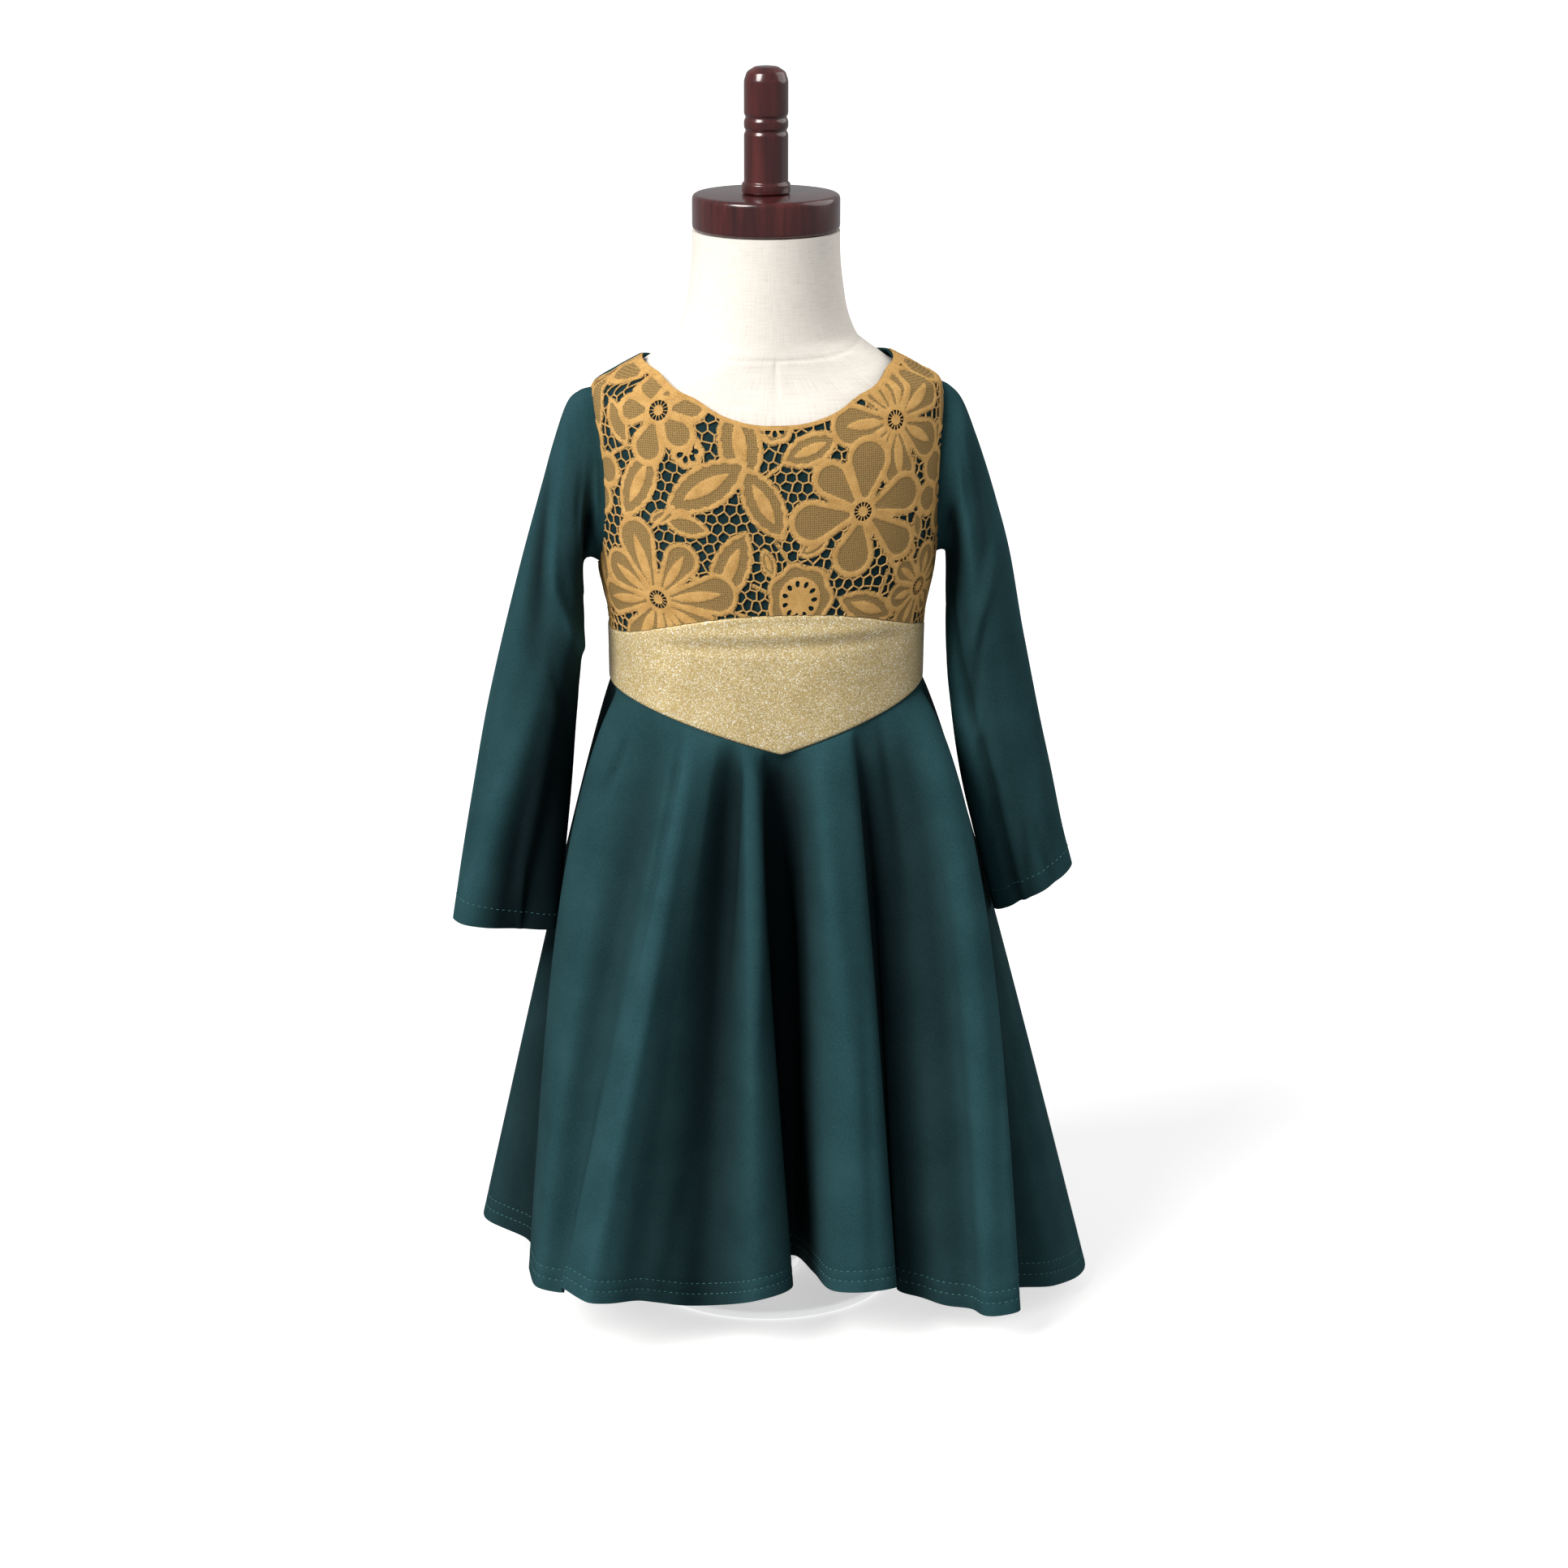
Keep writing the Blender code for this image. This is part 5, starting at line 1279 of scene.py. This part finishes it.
SLEEVE_RADIUS, SLEEVE_LENGTH, SLEEVE_SEAM = 32.0, 340.0, 0.45
SLEEVE_COLUMNS, SLEEVE_ROWS, SLEEVE_CROWDING = 112, 170, 0.9
SLEEVE_CALM_HEAD, SLEEVE_DEPTH_FULL, SHADE_START = 0.12, 8.0, 0.22
# By side: how much shade is painted on the knit where the sleeve faces the body, the front and outwards.
SLEEVE_SHADE = {1: (0.40, 0.34, 0.10), -1: (0.42, 0.60, 0.0)}


def armhole_ring(side):
    """Points round an armhole, from the underarm up the front, over and down the back."""
    turn = np.linspace(0, 2 * pi, SLEEVE_COLUMNS, endpoint=False)
    middle, reach = (UNDERARM + SHOULDER_TIP) / 2, (SHOULDER_TIP - UNDERARM) / 2
    front = turn <= pi
    hollow = np.where(front, FRONT_ARMHOLE_TURN, BACK_ARMHOLE_TURN) * np.abs(np.sin(turn))
    around = np.where(front, EDGE_TURN - hollow, pi - EDGE_TURN + hollow)
    ring = on_torso(side * around, middle - reach * np.cos(turn))
    ring[[0, SLEEVE_COLUMNS // 2], 1] = 0.0
    centre = ring.mean(0)
    return ring - unit(ring - centre) * SLEEVE_SEAM


def sleeve_rings(table, side):
    """The armhole ring and the table's sections as one stack of rings."""
    turn = np.linspace(0, 2 * pi, SLEEVE_COLUMNS, endpoint=False)[:, None]
    rings = [armhole_ring(side)]
    for _, outer_x, outer_z, inner_x, inner_z, centre_y, half_depth in table:
        outer = np.array((side * outer_x, centre_y, outer_z))
        inner = np.array((side * inner_x, centre_y, inner_z))
        centre, half = (outer + inner) / 2, (outer - inner) / 2
        rings.append(centre - half * np.cos(turn) + np.array((0, -half_depth, 0)) * np.sin(turn))
    return np.array(rings)


def through(rings, shares):
    """Rings on a smooth curve through a stack of rings, by share of its spans."""
    spans = len(rings) - 1
    ends = np.concatenate((rings[:1] * 2 - rings[1:2], rings, rings[-1:] * 2 - rings[-2:-1]))
    place = shares * spans
    span = np.minimum(place.astype(int), spans - 1)
    t = (place - span)[:, None, None]
    before, start, end, after = ends[span], ends[span + 1], ends[span + 2], ends[span + 3]
    return (start * 2 + (end - before) * t + (before * 2 - start * 5 + end * 4 - after) * t * t
            + (start * 3 - before - end * 3 + after) * t ** 3) / 2


def sleeve_lift(turn, share, creases):
    """Lift of folds and creases given by turn round the sleeve and share of its length."""
    flat = [(name, radians(a) * SLEEVE_RADIUS, b * SLEEVE_LENGTH, radians(c) * SLEEVE_RADIUS,
             d * SLEEVE_LENGTH, height, width) for name, a, b, c, d, height, width in creases]
    return crease_lift(turn * SLEEVE_RADIUS, share * SLEEVE_LENGTH, flat)


def make_sleeve(name, table, side, creases):
    """A sleeve with its folds and creases."""
    shares = np.linspace(0, 1, SLEEVE_ROWS + 1) ** SLEEVE_CROWDING
    rings = through(sleeve_rings(table, side), shares)
    turn = np.linspace(0, 2 * pi, SLEEVE_COLUMNS, endpoint=False)[None, :]
    away = unit(rings - rings.mean(1, keepdims=True))
    share = shares[:, None]
    fade = np.minimum(1, share / SLEEVE_CALM_HEAD)
    fine = sleeve_lift(turn, share, creases)
    lift = (sleeve_lift(turn, share, SLEEVE_FOLDS) + fine) * fade
    # Painted shade: darker where the sleeve faces the body and the front and in the fine creases' troughs,
    # lighter on their ridges.
    near, front, far = SLEEVE_SHADE[side]
    to_body, away_from_body = np.maximum(np.cos(turn), 0), np.maximum(-np.cos(turn), 0)
    shade = front + (near - front) * to_body + (far - front) * away_from_body
    shade_amount = np.clip(shade * np.minimum(1, share / SHADE_START) - fine * fade / SLEEVE_DEPTH_FULL, 0, 1)
    outer = rings + away * lift[..., None]
    normals = grid_normals(outer, True)
    normals = normals * np.sign((normals * away).sum())
    facts = {"painted_shade": shade_amount}
    return wall(name, outer, outer - normals * KNIT_WALL, KNIT, closed=True, facts=facts), outer, normals


sleeve_left, left_skin, left_out = make_sleeve("sleeve_left_knit", SLEEVE_LEFT, 1, LEFT_CREASES)
sleeve_right, right_skin, right_out = make_sleeve("sleeve_right_knit", SLEEVE_RIGHT, -1, RIGHT_CREASES)
finish_piece(sleeve_left, "knit", "sleeve_left")
finish_piece(sleeve_right, "knit", "sleeve_right")

# %% [markdown]
# ## The skirt
#
# A full skirt cut in gores hangs in deep rounded folds. Every rib below starts at the waist seam and
# runs down to its own place on the hem, and hems that lie far out or far in of a calm oval make
# the folds. A centripetal curve through the ribs never loops where ribs crowd. Creases on it are
# placed by rib and by share of the way down, and are uneven, because real folds are.

# %% Skirt
SKIRT_RIBS = (
    ("right_side", -97, 0, 5, -191, 30, 36), ("right_valley", -84, 4, 0, -164, -8, 34),
    ("panel_edge", -72, -18, -4, -168, -80, 42), ("panel_front", -58, -8, -8, -164, -112, 43),
    ("under_crest", -44, 2, -6, -150, -120, 42), ("crest_edge", -35, 4, -12, -150, -134, 51),
    ("crest", -30, 4, -12, -134, -150, 47), ("first_panel", -22, 2, -10, -96, -147, 42),
    ("soft_valley", -16, 0, -2, -56, -125, 30), ("middle_ridge", -10, -2, -10, -24, -151, 43),
    ("middle_edge", -6.5, -4, -7, 1, -134, 44), ("deep_left", -4, 0, 0, -4, -92, 46),
    ("deep_valley", 0, 2, 2, 10, -74, 41), ("deep_right", 4, 0, 0, 18, -112, 44),
    ("fourth_left", 8, 0, -5, 26, -143, 44), ("fourth_ridge", 15, 0, -10, 46, -151, 45),
    ("fourth_edge", 23, 0, -10, 68, -141, 43), ("second_left", 28, 2, 0, 71, -110, 33),
    ("second_valley", 36, 5, -2, 87, -118, 27), ("second_right", 44, 8, -8, 106, -137, 25),
    ("fifth_ridge", 54, 9, -13, 128, -154, 25), ("fifth_edge", 66, 14, -12, 149, -150, 26),
    ("left_valley", 72, 4, 0, 151, -104, 22), ("left_back_fold", 82, 0, 2, 184, -90, 17),
    ("left_side", 97, 3, 10, 213, -50, 12), ("left_rear", 103, 0, 8, 211, -10, 16),
    ("rear_a_valley", 110, 0, 4, 178, 22, 26), ("rear_b_front", 117, 4, 6, 190, 62, 28),
    ("rear_b_ridge", 125, 4, 8, 172, 94, 31), ("rear_b_valley", 132, 2, 2, 141, 88, 38),
    ("rear_c_front", 139, 2, 8, 144, 124, 35), ("rear_c_ridge", 147, 2, 10, 116, 146, 35),
    ("rear_c_valley", 154, 0, 2, 92, 114, 40), ("rear_d_front", 161, 0, 8, 76, 150, 37),
    ("rear_d_ridge", 168, 0, 10, 42, 164, 37), ("centre_valley", 176, 0, 2, 22, 124, 42),
    ("rear_e_front", 183, 0, 8, -2, 156, 38), ("rear_e_ridge", 191, 0, 10, -38, 166, 37),
    ("rear_e_valley", 198, 0, 2, -60, 124, 41), ("rear_f_front", 206, 0, 8, -84, 152, 36),
    ("rear_f_ridge", 214, -2, 10, -118, 144, 35), ("rear_f_valley", 222, -2, 2, -132, 102, 39),
    ("rear_g_front", 231, -4, 6, -160, 112, 35), ("rear_g_ridge", 245, -2, 4, -182, 76, 34),
)
CALM_HALF_WIDTH, CALM_HALF_DEPTH = 186.0, 133.0
FOLD_START, BELLY_START, SKIRT_CROWDING, SKIRT_SEAM = 0.66, 0.6, 1.15, 0.5
RIB_STEPS, SKIRT_ROWS, SKIRT_DROP = 10, 84, 375.0
HEM_LINES = (8.0, 15.0)
# Painted shade in the skirt's folds: reach in ribs to the ridges beside a point, and the depths in mm for
# full shade at the top and at the hem.
DEPTH_REACH, DEPTH_TOP, DEPTH_HEM = 1.7, 13.0, 46.0
# By crease: start and end as rib (with a fraction) and share of the way down, height, half width.
SKIRT_CREASES = (
    ("dimple", 3.05, 0.05, 2.80, 0.15, -3.6, 3.2), ("panel_lip", 4.9, 0.12, 4.8, 0.26, 1.4, 5.0),
    ("first_panel_roll", 3.2, 0.30, 3.0, 0.98, 2.2, 9.0),
    ("first_panel_soft", 3.9, 0.16, 3.6, 0.70, -1.6, 7.0),
    ("crest_roll", 5.7, 0.05, 5.5, 0.55, 1.6, 6.0), ("crest_fall", 7.0, 0.10, 7.0, 1.5, -10.0, 22.0),
    ("crest_lip", 6.1, 0.02, 6.0, 1.3, 2.0, 5.0), ("ridge_soft", 9.3, 0.05, 9.2, 0.50, 1.5, 6.0),
    ("wide_panel_drag", 7.6, 0.72, 7.2, 1.2, -1.6, 6.0), ("second_fall", 19.3, 0.02, 19.4, 1.5, -9.0, 11.0),
    ("fourth_soft", 14.5, 0.06, 15.0, 0.62, 1.5, 6.0), ("fourth_line", 15.6, 0.42, 15.3, 0.99, -1.4, 5.0),
    ("valley_soft", 18.3, 0.22, 18.5, 0.95, 1.6, 8.0), ("fifth_soft", 20.4, 0.08, 20.3, 0.60, 1.6, 7.0),
    ("fifth_line", 20.8, 0.46, 20.5, 0.99, -1.5, 6.0), ("left_fold_soft", 23.2, 0.28, 23.5, 0.98, 1.8, 9.0),
    ("left_rear_soft", 25.2, 0.20, 25.0, 0.90, 1.5, 8.0), ("rear_first", 27.5, 0.12, 27.6, 0.85, 1.8, 8.0),
    ("rear_second", 30.6, 0.10, 30.5, 0.60, 1.6, 7.0), ("rear_third", 31.3, 0.40, 31.2, 0.98, -1.5, 8.0),
    ("rear_fourth", 34.4, 0.08, 34.2, 0.55, 1.6, 7.0), ("rear_fifth", 34.6, 0.45, 34.5, 0.99, -1.5, 8.0),
    ("rear_sixth", 37.2, 0.10, 37.0, 0.65, 1.6, 7.0), ("rear_seventh", 40.2, 0.14, 40.1, 0.90, 1.6, 8.0),
    ("right_rear_soft", 42.6, 0.22, 42.8, 0.96, 1.8, 9.0),
    ("right_side_soft", 0.5, 0.30, 0.6, 0.95, 1.6, 8.0),
    ("second_fill", 17.5, 0.02, 17.4, 1.5, 8.0, 12.0), ("deep_top", 11.9, 0.27, 12.1, 0.75, -7.0, 11.0),
    ("deep_clear", 12.0, -0.08, 12.0, 0.34, 1.2, 8.0), ("ridge_top", 9.5, -0.05, 9.4, 0.45, 3.6, 7.0),
    ("fourth_top", 14.6, -0.05, 14.6, 0.45, 3.4, 9.0), ("crest_line", 5.0, -0.06, 5.0, 0.40, -3.0, 3.6),
    ("ridge_line", 8.3, -0.06, 8.2, 0.36, -3.0, 4.2),
    ("fourth_top_line", 16.7, -0.06, 16.7, 0.42, -2.6, 3.6),
    ("fifth_top_line", 18.0, -0.05, 18.3, 0.30, -2.2, 4.0),
)


def rib_rings(shares):
    """The ribs' points at each share of the way from the waist seam to the hem."""
    turn, belly_x, belly_y, *hem = (column(SKIRT_RIBS, k) for k in range(1, 7))
    turn, hem = np.radians(turn), np.stack(hem, -1)
    top = on_torso(turn, band_low(turn) - SKIRT_SEAM)
    angle = np.arctan2(hem[:, 1] / CALM_HALF_DEPTH, hem[:, 0] / CALM_HALF_WIDTH)
    calm = np.stack((np.cos(angle) * CALM_HALF_WIDTH, np.sin(angle) * CALM_HALF_DEPTH, hem[:, 2]), -1)
    belly = np.stack((belly_x, belly_y, 0 * belly_x), -1)
    s = shares[:, None, None]
    return top * (1 - s) + calm * s + (hem - calm) * s ** FOLD_START + belly * np.sin(pi * s ** BELLY_START)


def ring_splines(rings, steps):
    """Closed centripetal curves through rings of points, with even steps in each span."""
    a, b, c, d = (np.roll(rings, shift, 1) for shift in (1, 0, -1, -2))
    t1 = np.sqrt(np.linalg.norm(b - a, axis=-1, keepdims=True))
    t2 = t1 + np.sqrt(np.linalg.norm(c - b, axis=-1, keepdims=True))
    t3 = t2 + np.sqrt(np.linalg.norm(d - c, axis=-1, keepdims=True))
    out = []
    for step in range(steps):
        t = t1 + (t2 - t1) * step / steps
        ab = a * ((t1 - t) / t1) + b * (t / t1)
        bc = b * ((t2 - t) / (t2 - t1)) + c * ((t - t1) / (t2 - t1))
        cd = c * ((t3 - t) / (t3 - t2)) + d * ((t - t2) / (t3 - t2))
        abc = ab * ((t2 - t) / t2) + bc * (t / t2)
        bcd = bc * ((t3 - t) / (t3 - t1)) + cd * ((t - t1) / (t3 - t1))
        out.append(abc * ((t2 - t) / (t2 - t1)) + bcd * ((t - t1) / (t2 - t1)))
    return np.stack(out, 2).reshape(len(rings), -1, 3)


def skirt_lift(rings, shares):
    """How far the creases lift each point, by its distance along the ring from their lines."""
    steps = np.linalg.norm(np.roll(rings, -1, 1) - rings, axis=-1)
    place = np.concatenate((np.zeros((len(rings), 1)), np.cumsum(steps, 1)), 1)
    lift = np.zeros(rings.shape[:2])
    spots = np.arange(place.shape[1])
    for _, rib_a, share_a, rib_b, share_b, height, half_width in SKIRT_CREASES:
        for row, share in enumerate(shares):
            t = (share - share_a) / (share_b - share_a)
            if -0.15 < t < 1.15:
                fade = sin(pi * min(max(0.12 + 0.76 * t, 0), 1))
                at = np.interp((rib_a + (rib_b - rib_a) * t) * RIB_STEPS, spots, place[row])
                gap = np.abs(place[row, :-1] - at)
                gap = np.minimum(gap, place[row, -1] - gap)
                lift[row] += height * fade * np.exp(-(gap / half_width) ** 2)
    return lift


def skirt_shares():
    """Shares of the way down: rows even over the cloth, and closer at the hem's stitch lines."""
    even = np.linspace(0, 1, SKIRT_ROWS + 1) ** SKIRT_CROWDING
    near = np.concatenate([np.array((-1.0, 0.0, 1.0)) + line for line in HEM_LINES] + [[0.0, 0.6, 1.6]])
    return np.unique(np.concatenate((even[even < 1 - 17 / SKIRT_DROP], [1 - 11.5 / SKIRT_DROP],
                                     [1 - 4.5 / SKIRT_DROP], 1 - near / SKIRT_DROP)))


def painted_shade(rings, shares):
    """How deep each point lies between the folds beside it, from 0 on a ridge to 1: the shade painted in the
    folds.
    """
    out = np.hypot(rings[..., 0] / CALM_HALF_WIDTH, rings[..., 1] / CALM_HALF_DEPTH) * CALM_HALF_DEPTH
    reach = int(DEPTH_REACH * RIB_STEPS)
    highest = np.max([np.roll(out, shift, 1) for shift in range(-reach, reach + 1)], 0)
    highest = np.mean([np.roll(highest, shift, 1) for shift in range(-reach, reach + 1)], 0)
    full = DEPTH_TOP + (DEPTH_HEM - DEPTH_TOP) * shares[:, None]
    return np.clip((highest - out) / full, 0, 1)


def make_skirt():
    """The front and back of the skirt, parted at the side seams, and their outer skins."""
    shares = skirt_shares()
    outer = ring_splines(rib_rings(shares), RIB_STEPS)
    normals = -grid_normals(outer, True)
    drop = (1 - shares) * SKIRT_DROP
    sunk = sum(np.exp(-((drop - line) / 0.7) ** 2) for line in HEM_LINES)
    fade = np.minimum(1, shares / 0.06)
    lift = skirt_lift(outer, shares) * fade[:, None] - 0.3 * sunk[:, None]
    outer = outer + normals * lift[..., None]
    # Shade is painted into the folds by how deep they lie.
    shade_amount = painted_shade(outer, shares)
    normals = -grid_normals(outer, True)
    inner = outer - normals * KNIT_WALL
    names = [row[0] for row in SKIRT_RIBS]
    right, left = names.index("right_side") * RIB_STEPS, names.index("left_side") * RIB_STEPS
    panels, skins = [], []
    for name, spots in (("skirt_front_knit", np.arange(right, left + 1)),
                        ("skirt_back_knit", np.arange(left, outer.shape[1] + 1) % outer.shape[1])):
        pair = []
        for skin in (outer, inner):
            cut = skin[:, spots].copy()
            cut[:, 0] += unit(cut[:, 1] - cut[:, 0]) * SEAM / 2
            cut[:, -1] += unit(cut[:, -2] - cut[:, -1]) * SEAM / 2
            pair.append(cut)
        panels.append(wall(name, *pair, KNIT, facts={"painted_shade": shade_amount[:, spots]}))
        skins.append((pair[0], normals[:, spots], drop))
    return panels, skins


(skirt_front, skirt_back), skirt_skins = make_skirt()
finish_piece(skirt_front, "knit", "skirt_front")
finish_piece(skirt_back, "knit", "skirt_back")

# %% [markdown]
# ## Rows of stitches
#
# A twin needle leaves two rows round the hem, and the cuffs have one. Each row is a line on the
# cloth's outer face. Geometry Nodes cut it into even lengths and lay a small thread bead on each
# mark, turned along the line.

# %% Stitches
STITCH_LENGTH, STITCH_RADIUS, STITCH_LIFT = 4.2, 0.27, 0.12
CUFF_LINE = 13.0


def stitch_tree():
    """A line of edges becomes a row of thread beads."""
    tree, start, add, close = node_tree("stitches_on_line", (
        ("Length", "NodeSocketFloat", 0.003), ("Radius", "NodeSocketFloat", 0.0003),
        ("Material", "NodeSocketMaterial", None)))
    curve = add("GeometryNodeMeshToCurve", {"Mesh": start.outputs["Geometry"]})
    marks = add("GeometryNodeResampleCurve", {"Curve": curve.outputs["Curve"],
                                              "Length": start.outputs["Length"]}, mode="LENGTH")
    tangent = add("GeometryNodeInputTangent")
    turned = add("FunctionNodeAlignRotationToVector", {"Vector": tangent.outputs["Tangent"]}, axis="Z")
    bead = add("GeometryNodeMeshUVSphere", {"Segments": 6, "Rings": 4, "Radius": start.outputs["Radius"]})
    long_bead = add("GeometryNodeTransform", {"Geometry": bead.outputs["Mesh"], "Scale": (1.0, 1.0, 4.0)})
    rows = add("GeometryNodeInstanceOnPoints", {"Points": marks.outputs["Curve"],
                                                "Instance": long_bead.outputs["Geometry"],
                                                "Rotation": turned.outputs["Rotation"]})
    real = add("GeometryNodeRealizeInstances", {"Geometry": rows.outputs["Instances"]})
    dressed = add("GeometryNodeSetMaterial", {"Geometry": real.outputs["Geometry"],
                                              "Material": start.outputs["Material"]})
    close(dressed.outputs["Geometry"])
    return tree


def stitch_row(name, line, closed):
    """A row of stitches along a line of points in millimetres."""
    count = len(line)
    edges = [(k, (k + 1) % count) for k in range(count if closed else count - 1)]
    row = run_tree(line_object(name + "_line", line, edges), STITCHES,
                   {"Length": STITCH_LENGTH * MM, "Radius": STITCH_RADIUS * MM,
                    "Material": KNIT_THREAD}, name)
    return finish_piece(row, "knit")


def sleeve_line(skin, out):
    """The line round a cuff, a given distance above its edge."""
    steps = np.linalg.norm(np.diff(skin[::-1], axis=0), axis=2).mean(1)
    spot = int(np.searchsorted(np.cumsum(steps), CUFF_LINE)) + 1
    return skin[-1 - spot] + out[-1 - spot] * STITCH_LIFT


KNIT_THREAD = thread_material("green_thread", (46, 88, 90), (84, 134, 132))
STITCHES = stitch_tree()
for side, (skin, out, drop) in zip(("front", "back"), skirt_skins):
    for level in HEM_LINES:
        spot = int(np.argmin(np.abs(drop - level)))
        stitch_row(f"hem_stitches_{side}_{level:.0f}mm", skin[spot] + out[spot] * STITCH_LIFT, False)
stitch_row("cuff_stitches_left", sleeve_line(left_skin, left_out), True)
stitch_row("cuff_stitches_right", sleeve_line(right_skin, right_out), True)
